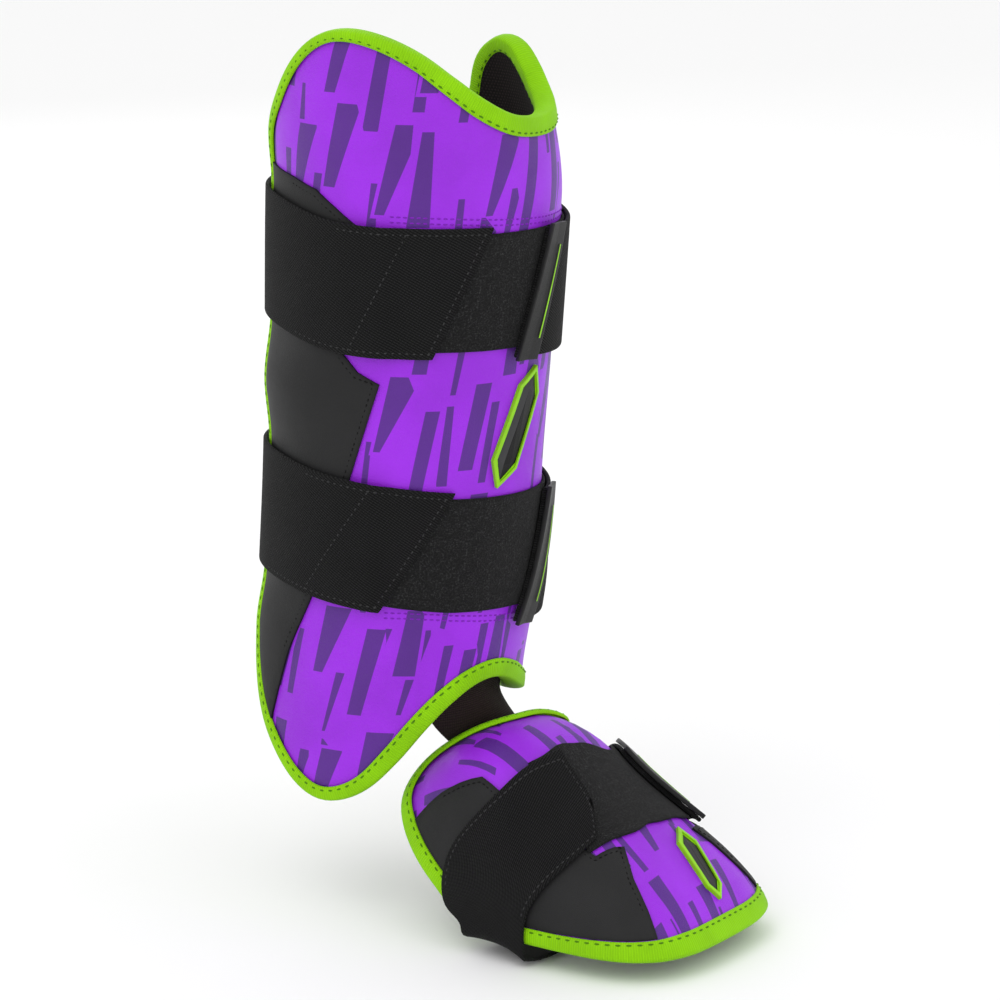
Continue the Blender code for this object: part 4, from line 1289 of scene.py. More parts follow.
@dataclass
class PaddedShell:
    """A padded shell on a skin with the binding round its edge."""

    skin: Skin
    name: str
    edge: Rows
    wall: float
    mesh_step: float = 0.0036
    stitch_pitch: float = 0.0044
    stations: Array = field(init=False)
    inset: Array = field(init=False)

    def __post_init__(self) -> None:
        """Space the stations of the edge."""
        self.stations = closed_edge(self.skin, self.edge, 0.0030)
        self.inset = inset_loop(self.skin, self.stations, SIZES.gap)

    def swell(self, u: Array, v: Array, edge: Array) -> Array:
        """Return how far the pad's outer face lies off the skin: it sinks under the binding."""
        return -0.0009 + 0.0009 * ease(0.0, 0.009, edge)

    def build(self, wardrobe: Wardrobe) -> None:
        """Build the pad and its binding with the stitches on it."""
        pad = cut_sheet(
            f"{self.name}_pad", self.skin, self.stations[:, :2], self.mesh_step, -self.wall, self.swell,
            wardrobe["printed_hide"],
        )
        pad.data.materials.append(wardrobe["mesh_lining"])
        outer = len(pad.data.vertices) // 2
        for face in pad.data.polygons:
            face.material_index = int(min(face.vertices) >= outer)
        hand_over(pad, f"{self.name}_shell")
        self.build_binding(wardrobe)

    def build_binding(self, wardrobe: Wardrobe) -> None:
        """Build the tape folded over the edge, and its row of stitches."""
        stations, moves = self.stations, inward_moves(self.skin, self.stations)
        outer = SIZES.gap + SIZES.binding
        middle, half = -self.wall / 2, self.wall / 2 + outer
        turns = np.linspace(math.pi / 2, -math.pi / 2, 13)
        fold = [(-(outer + 0.0004) * math.cos(turn) ** 0.8 if abs(math.cos(turn)) > 1e-9 else 0.0,
                 middle + half * math.sin(turn)) for turn in turns]
        section: list[tuple[float, float, float]] = [
            (1.0, 0.0, 0.0001), (1.0, 0.0, SIZES.gap + 0.0004), (1.0, -0.0005, outer - 0.0005),
            (0.72, 0.0, outer - 0.0001), (0.4, 0.0, outer + 0.0001),
        ]
        section += [(0.0, reach, offset) for reach, offset in fold]
        inner = -self.wall - outer
        section += [
            (0.4, 0.0, inner - 0.0001), (0.72, 0.0, inner + 0.0001), (1.0, -0.0005, inner + 0.0005),
            (1.0, 0.0, -self.wall - SIZES.gap - 0.0003), (1.0, 0.0, -self.wall - 0.0001),
            (0.0, 0.0002, -self.wall - 0.0001), (0.0, -0.0001, middle), (0.0, 0.0002, 0.0001),
        ]
        widths = stations[:, 2] * SIZES.binding_width
        rings = []
        for share, shift, offset in section:
            reach = widths * share + shift
            u, v = self.skin.moved(stations[:, 0], stations[:, 1], moves * reach[:, None])
            rings.append(self.skin.place(u, v, offset))
        points = np.stack(rings, axis=1)
        across = running_length(points, axis=1)
        rim = points[:, 4]
        along = running_length(np.vstack([rim, rim[:1]]))
        flat = np.stack([np.broadcast_to(along[:-1, None], across.shape), across], axis=-1)
        edge = np.minimum(across, across[:, -1:] - across)
        faces = ring_faces(points.shape[0], points.shape[1], closed=True)
        tape = make_piece(
            f"{self.name}_binding_tape", points.reshape(-1, 3), faces, flat.reshape(-1, 2),
            wardrobe["binding_tape"], edge.ravel(), sharp=70.0,
        )
        hand_over(tape, f"{self.name}_binding")
        sewing = Sewing(f"{self.name}_binding_stitches", "lime_thread", Slot.LIME)
        reach = (widths - 0.0015)[:, None]
        row = np.stack(self.skin.moved(stations[:, 0], stations[:, 1], moves * reach), axis=1)
        for side, offset in ((1.0, outer - HAIR), (-1.0, inner + HAIR)):
            line, normals = even_line(self.skin, row, self.stitch_pitch, offset, closed=True)
            sewing.add(line, normals * side, length=0.0027, thick=0.0007)
        sewing.finish(wardrobe)

    def build_panel(self, wardrobe: Wardrobe, node: str, corners: Rows, sewing: Sewing) -> None:
        """Build a plain panel sewn on the shell.

        Args:
            wardrobe: The finishes.
            node: CAD node that the panel stands for.
            corners: Its free edge, from one end to the other.
            sewing: Takes the stitches along that edge.
        """
        outline = panel_loop(self.skin, corners, self.inset)
        top = SIZES.gap + SIZES.panel

        def high(u: Array, v: Array, edge: Array) -> Array:
            """Return the outer face's distance: the panel's edge is pressed down."""
            return top - 0.0005 * ease(0.0018, 0.0, edge)

        panel = cut_sheet(f"{node}_hide", self.skin, outline, 0.0030, -0.0002, high, wardrobe["plain_hide"])
        hand_over(panel, node)
        cut_size(self.skin.flat(*outline.T))
        inner = self.shrunk(outline, 0.0026)[: len(corners) - 2]
        line, normals = even_line(self.skin, inner, 0.0027, top - HAIR)
        sewing.add(line, normals, length=0.0019, thick=0.0005)

    def shrunk(self, outline: Array, distance: float) -> Array:
        """Return an outline moved inwards by a distance."""
        rows = np.column_stack([outline, np.ones(len(outline))])
        moves = inward_moves(self.skin, rows) * distance
        return np.stack(self.skin.moved(outline[:, 0], outline[:, 1], moves), axis=1)


@dataclass
class Badge:
    """A long six-sided badge: a lime frame round a black ridge with two tones of facets."""

    node: str
    skin: Skin
    spot: tuple[float, float]
    lean: float
    length: float
    width: float
    shoulder: float = 0.62
    rim: float = 0.0012

    def outline(self, scale: float, height: float) -> None:
        """Add the six-sided outline as a face and leave it in edit mode, all selected.

        Args:
            scale: Distance that the outline lies inside the full one.
            height: Height of the face.
        """
        bpy.ops.object.select_all(action="DESELECT")
        bpy.ops.mesh.primitive_circle_add(vertices=6, radius=1.0, fill_type="NGON", location=(0.0, 0.0, 0.0))
        bpy.ops.object.mode_set(mode="EDIT")
        bpy.ops.mesh.select_all(action="SELECT")
        across = (self.width / 2 - scale) / math.cos(math.radians(30))
        bpy.ops.transform.resize(value=(across, self.length / 2 - 2.2 * scale, 1.0))
        bpy.ops.transform.translate(value=(0.0, 0.0, height))
        pick_vertices(lambda point: abs(point.x) > 1e-5)
        bpy.ops.transform.resize(value=(1.0, self.shoulder / 0.5, 1.0), center_override=(0.0, 0.0, height))

    def wrap(self, piece: bpy.types.Object) -> None:
        """Bend a flat piece to the skin at the badge's spot."""
        points = read_points(piece)
        u, v = (np.full(len(points), float(value)) for value in self.spot)
        along_u, along_v = self.skin.slopes(u[:1], v[:1])
        side = unit(along_u[0])
        up = unit(along_v[0] - side * (along_v[0] @ side))
        turn = math.radians(self.lean)
        x = points[:, 0] * math.cos(turn) - points[:, 1] * math.sin(turn)
        y = points[:, 0] * math.sin(turn) + points[:, 1] * math.cos(turn)
        spots = self.skin.moved(u, v, side * x[:, None] + up * y[:, None])
        move_points(piece, self.skin.place(*spots, points[:, 2]))

    def build(self, wardrobe: Wardrobe) -> None:
        """Build the frame and the ridge."""
        top = SIZES.gap + SIZES.badge
        self.outline(0.0, HAIR)
        bpy.ops.mesh.select_all(action="SELECT")
        bpy.ops.mesh.extrude_region_move(TRANSFORM_OT_translate={"value": (0.0, 0.0, top - 0.0003)})
        bpy.ops.mesh.inset(thickness=self.rim * 0.35, depth=0.0003)
        bpy.ops.mesh.inset(thickness=self.rim, depth=0.0)
        bpy.ops.mesh.extrude_region_move(TRANSFORM_OT_translate={"value": (0.0, 0.0, -0.0008)})
        bpy.ops.mesh.select_all(action="SELECT")
        bpy.ops.mesh.subdivide(number_cuts=2)
        bpy.ops.object.mode_set(mode="OBJECT")
        base = bpy.context.object
        base.name = f"{self.node}_frame"
        base.data.materials.append(wardrobe["lime_moulding"])
        self.wrap(base)
        hand_over(base, self.node)

        self.outline(self.rim * 1.45, top - 0.0009)
        bpy.ops.mesh.select_all(action="SELECT")
        bpy.ops.mesh.extrude_region_move(TRANSFORM_OT_translate={"value": (0.0, 0.0, 0.0003)})
        bpy.ops.mesh.extrude_region_move(TRANSFORM_OT_translate={"value": (0.0, 0.0, 0.0011)})
        bpy.ops.transform.resize(value=(0.03, 0.72, 1.0))
        bpy.ops.transform.translate(value=(-0.13 * self.width * self.skin.side, 0.0, 0.0))
        bpy.ops.mesh.select_all(action="SELECT")
        bpy.ops.mesh.quads_convert_to_tris()
        bpy.ops.mesh.subdivide(number_cuts=1)
        bpy.ops.object.mode_set(mode="OBJECT")
        core = bpy.context.object
        core.name = f"{self.node}_ridge"
        core.data.materials.append(wardrobe["gloss_black"])
        core.data.materials.append(wardrobe["grey_facet"])
        for face in core.data.polygons:
            face.material_index = int(face.normal.z > 0.02 and face.normal.x * self.skin.side < -0.02)
        self.wrap(core)
        hand_over(core)


@dataclass
class PullTab:
    """A moulded tab across a strap's loose end, with a groove and a ridge along it."""

    node: str
    width: float
    length: float
    seat: Callable[[Array, Array, Array], Array]

    def build(self, wardrobe: Wardrobe) -> None:
        """Build the tab flat, then seat it."""
        bpy.ops.object.select_all(action="DESELECT")
        bpy.ops.mesh.primitive_cube_add(size=1.0, location=(0.0, 0.0, 0.0))
        tab = bpy.context.object
        bpy.ops.object.mode_set(mode="EDIT")
        bpy.ops.mesh.select_all(action="SELECT")
        bpy.ops.transform.translate(value=(0.0, 0.0, 0.5))
        bpy.ops.transform.resize(value=(self.width, self.length, SIZES.tab), center_override=(0.0, 0.0, 0.0))
        for share in (0.06, 0.44, 0.54, 0.94):
            bpy.ops.mesh.select_all(action="SELECT")
            spot = (self.width * (share - 0.5), 0.0, 0.0)
            bpy.ops.mesh.bisect(plane_co=spot, plane_no=(1.0, 0.0, 0.0))
        for share in np.linspace(0.0, 1.0, 25)[1:-1]:
            bpy.ops.mesh.select_all(action="SELECT")
            bpy.ops.mesh.bisect(plane_co=(0.0, self.length * (share - 0.5), 0.0), plane_no=(0.0, 1.0, 0.0))
        low, high = self.width * -0.07, self.width * 0.05
        pick_vertices(lambda point: low < point.x < high and point.z > SIZES.tab * 0.9)
        bpy.ops.transform.translate(value=(0.0, 0.0, -0.0007))
        bpy.ops.object.mode_set(mode="OBJECT")
        bevel = tab.modifiers.new("rounding", "BEVEL")
        bevel.width, bevel.segments, bevel.limit_method = 0.0004, 3, "ANGLE"
        bpy.ops.object.modifier_apply(modifier=bevel.name)
        tab.name = f"{self.node}_moulding"
        points = read_points(tab)
        placed = self.seat(points[:, 0] / self.width + 0.5, points[:, 1] / self.length + 0.5, points[:, 2])
        move_points(tab, placed)
        tab.data.shade_smooth()
        tab.data.set_sharp_from_angle(angle=math.radians(35))
        tab.data.materials.append(wardrobe["moulded_rubber"])
        hand_over(tab, self.node)
        self.build_bar(wardrobe)

    def build_bar(self, wardrobe: Wardrobe) -> None:
        """Build the plain raised bar of lime beside the groove."""
        across = np.linspace(0.19, 0.27, 4)
        down = np.linspace(0.16, 0.84, 40)
        x, y = np.meshgrid(across, down)
        middle = self.seat(x.ravel(), y.ravel(), np.full(x.size, SIZES.tab + HAIR / 2))
        middle = middle.reshape(*x.shape, 3)
        flat = np.stack([x * self.width, y * self.length], axis=-1)
        shares = (across - across[0]) / (across[-1] - across[0])
        bar = slab(f"{self.node}_bar", middle, shares, self.width * 0.08, 0.0003, flat, wardrobe["lime_moulding"])
        hand_over(bar)


@dataclass
class LegStrap:
    """A strap round the leg with its landing and its pull tab."""

    name: str
    path: Rows
    sewn_end: tuple[float, float]
    loose_end: tuple[float, float]
    landing_end: float = -60.0
    dip: Pair = (60.0, 69.0)
    row_step: float = 1.8
    stitch_inset: float = 0.0028
    stitch_reach: float = 58.0
    second_row: float = 0.036

    def middle(self, angle: Array) -> Array:
        """Return the height of the strap's middle at an angle."""
        return read_curve(self.path, 1, np.asarray(angle, float)) * LEG.height

    def band(
        self, starts: tuple[float, float], ends: tuple[float, float], middle: Callable[[Array], Array],
        width: float, shares: Array, low: Callable[[Array], Array],
    ) -> tuple[Array, Array]:
        """Lay a band round the leg between two slanted ends.

        Args:
            starts: Angle of its start at the lower and at the upper edge.
            ends: The same for its end.
            middle: Gives the height of its middle at an angle.
            width: Its width.
            shares: Shares across it.
            low: Gives its distance outside the skin at an angle.

        Returns:
            The grid of points, and where they lie on the flat cloth.
        """
        count = math.ceil(max(abs(end - start) for start, end in zip(starts, ends)) / self.row_step)
        along = np.linspace(0.0, 1.0, count + 1)[:, None]
        angle = mix((mix(starts, shares[None, :]), mix(ends, shares[None, :])), along)
        height = middle(angle) + (shares[None, :] - 0.5) * width
        points = LEG.place(angle, height, low(angle))
        flat = np.stack([angle * LEG.plan[0], np.broadcast_to((shares - 0.5) * width, angle.shape)], axis=-1)
        return points, flat

    def build(self, wardrobe: Wardrobe, sewing: Sewing) -> None:
        """Build the strap, its landing and its tab.

        Args:
            wardrobe: The finishes.
            sewing: Takes the stitches.
        """
        shares = edge_shares(SIZES.strap_width, SIZES.strap / 2, 16)

        def strap_height(angle: Array) -> Array:
            """Return the distance of the strap's middle outside the skin."""
            low = mix((SIZES.gap, SIZES.strap_low), ease(*self.dip, angle))
            return low + SIZES.strap / 2

        points, flat = self.band(
            self.sewn_end, self.loose_end, self.middle, SIZES.strap_width, shares, strap_height
        )
        strap = slab(
            f"{self.name}_webbing", points, shares, SIZES.strap_width, SIZES.strap, flat, wardrobe["webbing"]
        )
        hand_over(strap, f"{self.name}_strap")
        self.build_landing(wardrobe)
        self.sew(sewing, strap_height)

        def seat(x: Array, y: Array, z: Array) -> Array:
            """Return points of the tab on the strap's loose end."""
            end = mix(self.loose_end, y)
            start = end - LEG.degrees(SIZES.tab_width - SIZES.tab_overhang)
            angle = mix((start, end + LEG.degrees(SIZES.tab_overhang)), x)
            height = self.middle(angle) + (y - 0.5) * (SIZES.strap_width + 2 * SIZES.tab_overhang)
            return LEG.place(angle, height, SIZES.strap_low + SIZES.strap + SIZES.gap / 2 + z)

        PullTab(
            f"{self.name}_pull_tab", SIZES.tab_width, SIZES.strap_width + 2 * SIZES.tab_overhang, seat
        ).build(wardrobe)

    def build_landing(self, wardrobe: Wardrobe) -> None:
        """Build the loop fabric strip that the strap closes on."""
        low_end = min(self.sewn_end)
        heights = tuple(float(self.middle(np.array(end))) for end in (low_end, self.landing_end + 360.0))

        def middle(angle: Array) -> Array:
            """Return the height of the landing's middle: it follows the strap along the strap's end."""
            onward = mix(heights, (low_end - angle) / (low_end - self.landing_end))
            return np.where(angle > low_end, self.middle(angle), onward)

        half = SIZES.landing_width / SIZES.strap_width / 2
        overlap = LEG.degrees(SIZES.end_overlap)
        start = tuple(mix(self.sewn_end, 0.5 + side * half) + overlap for side in (-1, 1))
        shares = edge_shares(SIZES.landing_width, SIZES.landing / 2, 14)
        low = SIZES.gap / 2 + SIZES.landing / 2
        points, flat = self.band(
            start, (self.landing_end, self.landing_end), middle, SIZES.landing_width, shares,
            lambda angle: np.full_like(angle, low),
        )
        landing = slab(
            f"{self.name}_loop_fabric", points, shares, SIZES.landing_width, SIZES.landing, flat, wardrobe["loop_fabric"]
        )
        hand_over(landing, f"{self.name}_landing")

    def sew(self, sewing: Sewing, height: Callable[[Array], Array]) -> None:
        """Sew the strap down along its edges near the sewn end, across it there, and over the panel."""
        inset = self.stitch_inset
        sides = (inset / SIZES.strap_width, 1 - inset / SIZES.strap_width)
        for side in sides:
            start = mix(self.sewn_end, side) + LEG.degrees(inset)
            angle = np.linspace(start, start + self.stitch_reach, 200)
            self.sew_line(sewing, angle, np.full_like(angle, side), height)
        up = np.linspace(sides[0], sides[1], 60)
        for shift in (inset, self.second_row):
            angle = mix(self.sewn_end, up) + LEG.degrees(shift)
            self.sew_line(sewing, angle, up, height)

    def sew_line(self, sewing: Sewing, angle: Array, share: Array, height: Callable[[Array], Array]) -> None:
        """Sew one line on the strap.

        Args:
            sewing: Takes the stitches.
            angle: Angles along the line.
            share: Shares across the strap there.
            height: Gives the distance of the strap's middle outside the skin.
        """
        level = self.middle(angle) + (share - 0.5) * SIZES.strap_width
        lengths = running_length(LEG.base(angle, level))
        goals = np.arange(0.0, lengths[-1], 0.0030)
        angles, levels = read_along(np.stack([angle, level], axis=1), lengths, goals).T
        top = height(angles) + SIZES.strap / 2 - HAIR
        sewing.add(LEG.place(angles, levels, top), LEG.normal(angles, levels), length=0.0021, thick=0.0007)


@dataclass
class ShinGuard:
    """The padded shin shell with its lining, binding, side panel, badge and straps."""

    edge: Rows = (
        (143, 0.250, 0.75), (138, 0.337, 0.70), (126, 0.389, 0.60), (113, 0.436, 0.50), (100, 0.466, 0.45),
        (87, 0.476, 0.45), (72, 0.469, 0.55), (57, 0.449, 0.70), (43, 0.419, 0.85), (30, 0.391, 0.95),
        (16, 0.371, 1.00), (0, 0.363, 1.00), (-17, 0.363, 1.00), (-33, 0.371, 1.00), (-45, 0.386, 0.90),
        (-55, 0.410, 0.80), (-66, 0.433, 0.75), (-78, 0.439, 0.75), (-89, 0.420, 0.75), (-95, 0.380, 0.75),
        (-98, 0.310, 0.75), (-98, 0.000, 0.75), (-98, -0.280, 0.75), (-95, -0.342, 0.75), (-87, -0.383, 0.75),
        (-73, -0.406, 0.80), (-56, -0.411, 0.90), (-38, -0.402, 1.00), (-20, -0.385, 1.00), (-4, -0.362, 1.00),
        (10, -0.350, 1.00), (22, -0.355, 1.00), (33, -0.377, 1.00), (43, -0.409, 1.00), (54, -0.452, 0.95),
        (65, -0.488, 0.80), (76, -0.507, 0.70), (87, -0.510, 0.65), (99, -0.493, 0.65), (112, -0.459, 0.65),
        (124, -0.420, 0.70), (134, -0.371, 0.75), (141, -0.305, 0.80), (143, -0.230, 0.80), (143, 0.000, 0.80),
    )
    panel: Rows = (
        (138.0, 0.298), (113.0, 0.290), (98.0, 0.280), (88.5, 0.262), (72.5, 0.228), (85.5, 0.084),
        (81.5, 0.072), (76.5, 0.055), (67.5, 0.041), (77.5, -0.076), (95.5, -0.249), (106.0, -0.325),
        (118.0, -0.436),
    )
    straps: tuple[LegStrap, ...] = (
        LegStrap(
            "upper",
            ((25, 0.156), (84, 0.162), (118, 0.178), (150, 0.185), (200, 0.184), (250, 0.170), (328, 0.146),
             (372, 0.153)),
            (47.4, 25.0), (372.5, 356.5),
        ),
        LegStrap(
            "lower",
            ((35, -0.182), (60, -0.173), (84, -0.163), (118, -0.151), (150, -0.148), (200, -0.156),
             (250, -0.176), (328, -0.203), (364, -0.197)),
            (64.5, 35.0), (364.0, 340.5),
        ),
    )
    seams: tuple[Rows, ...] = (
        ((66.0, 0.0890), (42.0, 0.0880), (-1.0, 0.0845), (-40.0, 0.0830)),
        ((63.0, -0.0895), (44.0, -0.0902), (-4.0, -0.0962), (-40.0, -0.0985)),
    )

    def build(self, wardrobe: Wardrobe) -> None:
        """Build all of the shin guard."""
        rows = [(angle, height * LEG.height, share) for angle, height, share in self.edge]
        shell = PaddedShell(LEG, "shin", rows, SIZES.pad)
        shell.build(wardrobe)
        self.build_lining(wardrobe, shell)
        black = Sewing("shin_black_stitches", "black_thread", Slot.BLACK)
        corners = [(angle, height * LEG.height) for angle, height in self.panel]
        shell.build_panel(wardrobe, "shin_side_panel", corners, black)
        Badge("shin_badge", LEG, (6.0, -0.024 * LEG.height), 21.6, 0.057, 0.0150).build(wardrobe)
        black.finish(wardrobe)
        grey = Sewing("leg_strap_stitches", "grey_thread", Slot.BLACK)
        for strap in self.straps:
            strap.build(wardrobe, grey)
        grey.finish(wardrobe)
        purple = Sewing("shin_seam_stitches", "purple_thread", Slot.PURPLE)
        for seam in self.seams:
            for shift in (0.0, -0.0024):
                line = [(angle, height + shift) for angle, height in seam]
                points, normals = even_line(LEG, smooth_rows(line, 8), 0.0029, HAIR)
                purple.add(points, normals, length=0.0022, thick=0.0006)
        purple.finish(wardrobe)

    def build_lining(self, wardrobe: Wardrobe, shell: PaddedShell) -> None:
        """Build the mesh lining on the pad's inner face."""
        high = -SIZES.pad - SIZES.gap / 2
        loop = inset_loop(LEG, shell.stations, -0.0012)
        lining = cut_sheet(
            "shin_mesh_lining", LEG, loop, 0.0045, high - SIZES.lining,
            lambda u, v, edge: np.full_like(u, high), wardrobe["mesh_lining"],
        )
        hand_over(lining, "shin_lining")
        cut_size(LEG.flat(*loop.T))


@dataclass
class FootGuard:
    """The padded foot guard with its binding, panels, badge and strap."""

    rear_edge: Rows = (
        (-0.645, 0.615, 0.90), (-0.550, 0.655, 0.95), (-0.440, 0.672, 0.95), (-0.320, 0.660, 0.90),
        (-0.215, 0.620, 0.70), (-0.140, 0.530, 0.50), (-0.090, 0.410, 0.45), (-0.030, 0.318, 0.45),
        (0.060, 0.285, 0.45), (0.160, 0.320, 0.45), (0.260, 0.430, 0.50), (0.370, 0.530, 0.65),
        (0.500, 0.575, 0.80), (0.620, 0.550, 0.90),
    )
    lower_binding: Pair = (0.80, 1.05)
    outer_panel: Rows = (
        (-0.330, 0.600), (-0.300, 0.510), (-0.280, 0.380), (-0.330, 0.340), (-0.450, 0.190), (-0.380, -0.070),
        (-0.260, -0.100), (-0.210, -0.120), (-0.310, -0.235), (-0.390, -0.370), (-0.470, -0.490),
    )
    inner_panel: Rows = (
        (0.470, 0.560), (0.450, 0.450), (0.470, 0.340), (0.520, 0.190), (0.530, -0.040), (0.460, -0.125),
        (0.250, -0.165), (0.310, -0.235), (0.390, -0.370), (0.470, -0.490),
    )
    outer_strap: Rows = (
        (-0.060, 0.150, -0.320, -0.030), (-0.200, 0.245, -0.400, -0.020), (-0.340, 0.340, -0.480, 0.000),
        (-0.430, 0.440, -0.580, 0.045), (-0.490, 0.540, -0.680, 0.110), (-0.555, 0.610, -0.770, 0.175),
        (-0.630, 0.640, -0.850, 0.205), (-0.715, 0.590, -0.930, 0.200), (-0.745, 0.610, -0.960, 0.205),
    )
    inner_strap: Rows = (
        (0.762, 0.593, 0.962, 0.205), (0.715, 0.560, 0.930, 0.200), (0.640, 0.600, 0.860, 0.180),
        (0.560, 0.580, 0.780, 0.140), (0.480, 0.490, 0.690, 0.080), (0.390, 0.390, 0.600, 0.010),
        (0.310, 0.290, 0.500, -0.070), (0.230, 0.200, 0.400, -0.135),
    )
    landing: Rows = (
        (-0.180, 0.240, -0.400, -0.040), (-0.110, 0.190, -0.345, -0.055), (-0.040, 0.150, -0.270, -0.070),
        (0.030, 0.130, -0.150, -0.090), (0.100, 0.150, 0.000, -0.100),
        (0.180, 0.190, 0.150, -0.105), (0.270, 0.260, 0.300, -0.110), (0.370, 0.350, 0.440, -0.080),
    )
    sole: Rows = ((-0.94, 0.46, 0.15), (-0.84, 0.36, 0.00), (0.84, 0.36, 0.00), (0.94, 0.46, 0.15))
    sole_reach: Pair = (0.62, 0.91)

    def lower_edge(self) -> list[tuple[float, float, float]]:
        """Return the lower edge's rows: at each direction the disc share that lies at the rim's height."""
        rows = []
        shares = np.linspace(0.2, 1.0, 4000)
        for degrees in range(390, 140, -15):
            across, back = math.cos(math.radians(degrees)), math.sin(math.radians(degrees))
            heights = FOOT.base(shares * across, shares * back)[:, 2]
            share = float(shares[heights > FOOT.sole + FOOT.rim][-1])
            rows.append((share * across, share * back, mix(self.lower_binding, max(0.0, -back))))
        return rows

    def strap_grid(self, rows: Rows, shares: Array, offset: float) -> Array:
        """Lay a band across the foot.

        Args:
            rows: Its rear and front edge in disc shares, a row at a time.
            shares: Shares across it.
            offset: Distance outside the skin.

        Returns:
            The grid of points.
        """
        fine = smooth_rows(np.asarray(rows, float), 5)
        u = mix((fine[:, 0:1], fine[:, 2:3]), shares[None, :])
        v = mix((fine[:, 1:2], fine[:, 3:4]), shares[None, :])
        return FOOT.place(u, v, offset)

    def sole_grid(self, shares: Array) -> Array:
        """Return the grid of the web under the sole."""
        rows = np.asarray(self.sole, float)
        x = np.broadcast_to(rows[:, 0:1] * FOOT.width / 2, (len(rows), len(shares)))
        y = np.broadcast_to(-mix(self.sole_reach, shares[None, :]) * FOOT.ahead, x.shape)
        z = FOOT.sole + mix((rows[:, 1:2], rows[:, 2:3]), shares[None, :]) * FOOT.rim + SIZES.strap / 2
        grid = np.stack([x, y, z], axis=-1)
        return np.concatenate([grid[:1], smooth_rows(grid[1:3], 20), grid[3:]])

    def build(self, wardrobe: Wardrobe) -> None:
        """Build all of the foot guard."""
        shell = PaddedShell(FOOT, "foot", [*self.rear_edge, *self.lower_edge()], SIZES.foot_pad, 0.0030, 0.0046)
        shell.build(wardrobe)
        black = Sewing("foot_black_stitches", "black_thread", Slot.BLACK)
        shell.build_panel(wardrobe, "foot_outer_panel", self.outer_panel, black)
        shell.build_panel(wardrobe, "foot_inner_panel", self.inner_panel, black)
        Badge("foot_badge", FOOT, (0.090, -0.350), -4.0, 0.038, 0.0110).build(wardrobe)
        black.finish(wardrobe)
        grey = Sewing("foot_strap_stitches", "grey_thread", Slot.BLACK)
        self.build_strap(wardrobe, grey)
        grey.finish(wardrobe)

    def build_strap(self, wardrobe: Wardrobe, sewing: Sewing) -> None:
        """Build the foot strap, its landing and its tab."""
        shares = edge_shares(SIZES.strap_width, SIZES.strap / 2, 14)
        offset = SIZES.strap_low + SIZES.strap / 2
        outer = self.strap_grid(self.outer_strap, shares, offset)
        inner = self.strap_grid(self.inner_strap, shares, offset)
        grid = np.concatenate([outer, self.sole_grid(shares), inner])
        for _ in range(4):
            grid[1:-1] = grid[1:-1] * 0.5 + (grid[:-2] + grid[2:]) * 0.25
        along, width = running_length(grid), running_length(grid, axis=1)
        flat = np.stack([along, width - width[:, -1:] / 2], axis=-1)
        strap = slab("foot_webbing", grid, shares, SIZES.strap_width, SIZES.strap, flat, wardrobe["webbing"])
        hand_over(strap, "foot_strap")
        top = SIZES.strap_low + SIZES.strap - HAIR
        ends = self.strap_grid(self.outer_strap, np.linspace(0.05, 0.95, 30), top)
        for column in (0, -1):
            self.sew_line(sewing, ends[1:28, column], ends[1:28, -1 - column])
        self.sew_line(sewing, ends[1], ends[6])

        shares = edge_shares(SIZES.landing_width, SIZES.landing / 2, 14)
        grid = self.strap_grid(self.landing, shares, SIZES.gap / 2 + SIZES.landing / 2)
        along = running_length(grid)
        flat = np.stack([along, np.broadcast_to(shares * SIZES.landing_width, along.shape)], axis=-1)
        landing = slab(
            "foot_loop_fabric", grid, shares, SIZES.landing_width, SIZES.landing, flat, wardrobe["loop_fabric"]
        )
        hand_over(landing, "foot_landing")
        self.build_tab(wardrobe)

    def sew_line(self, sewing: Sewing, line: Array, aside: Array) -> None:
        """Sew along a line of points on the foot strap.

        Args:
            sewing: Takes the stitches.
            line: The points.
            aside: Points to one side of them, which give the way out of the strap.
        """
        lengths = running_length(line)
        goals = np.arange(0.0015, lengths[-1], 0.0030)
        points, beside = read_along(line, lengths, goals), read_along(aside, lengths, goals)
        normals = unit(np.cross(np.gradient(points, axis=0), beside - points))
        middle = np.array([0.0, -FOOT.ahead + 0.02, FOOT.sole])
        normals *= np.sign(((points - middle) * normals).sum(-1, keepdims=True))
        sewing.add(points, normals, length=0.0022, thick=0.0006)

    def build_tab(self, wardrobe: Wardrobe) -> None:
        """Build the tab across the strap's loose end."""
        end, before = np.asarray(self.inner_strap[-1], float), np.asarray(self.inner_strap[-2], float)
        middles = [((row[0] + row[2]) / 2, (row[1] + row[3]) / 2) for row in (end, before)]
        step = float(np.linalg.norm(FOOT.base(*middles[0]) - FOOT.base(*middles[1])))

        def seat(x: Array, y: Array, z: Array) -> Array:
            """Return points of the tab on the strap's loose end."""
            away = mix((SIZES.tab_width - SIZES.tab_overhang, -SIZES.tab_overhang), x) / step
            row = end + (before - end) * away[:, None]
            u, v = mix((row[:, 0], row[:, 2]), 1 - y), mix((row[:, 1], row[:, 3]), 1 - y)
            return FOOT.place(u, v, SIZES.strap_low + SIZES.strap + SIZES.gap / 2 + z)

        PullTab("foot_pull_tab", SIZES.tab_width, 0.058, seat).build(wardrobe)


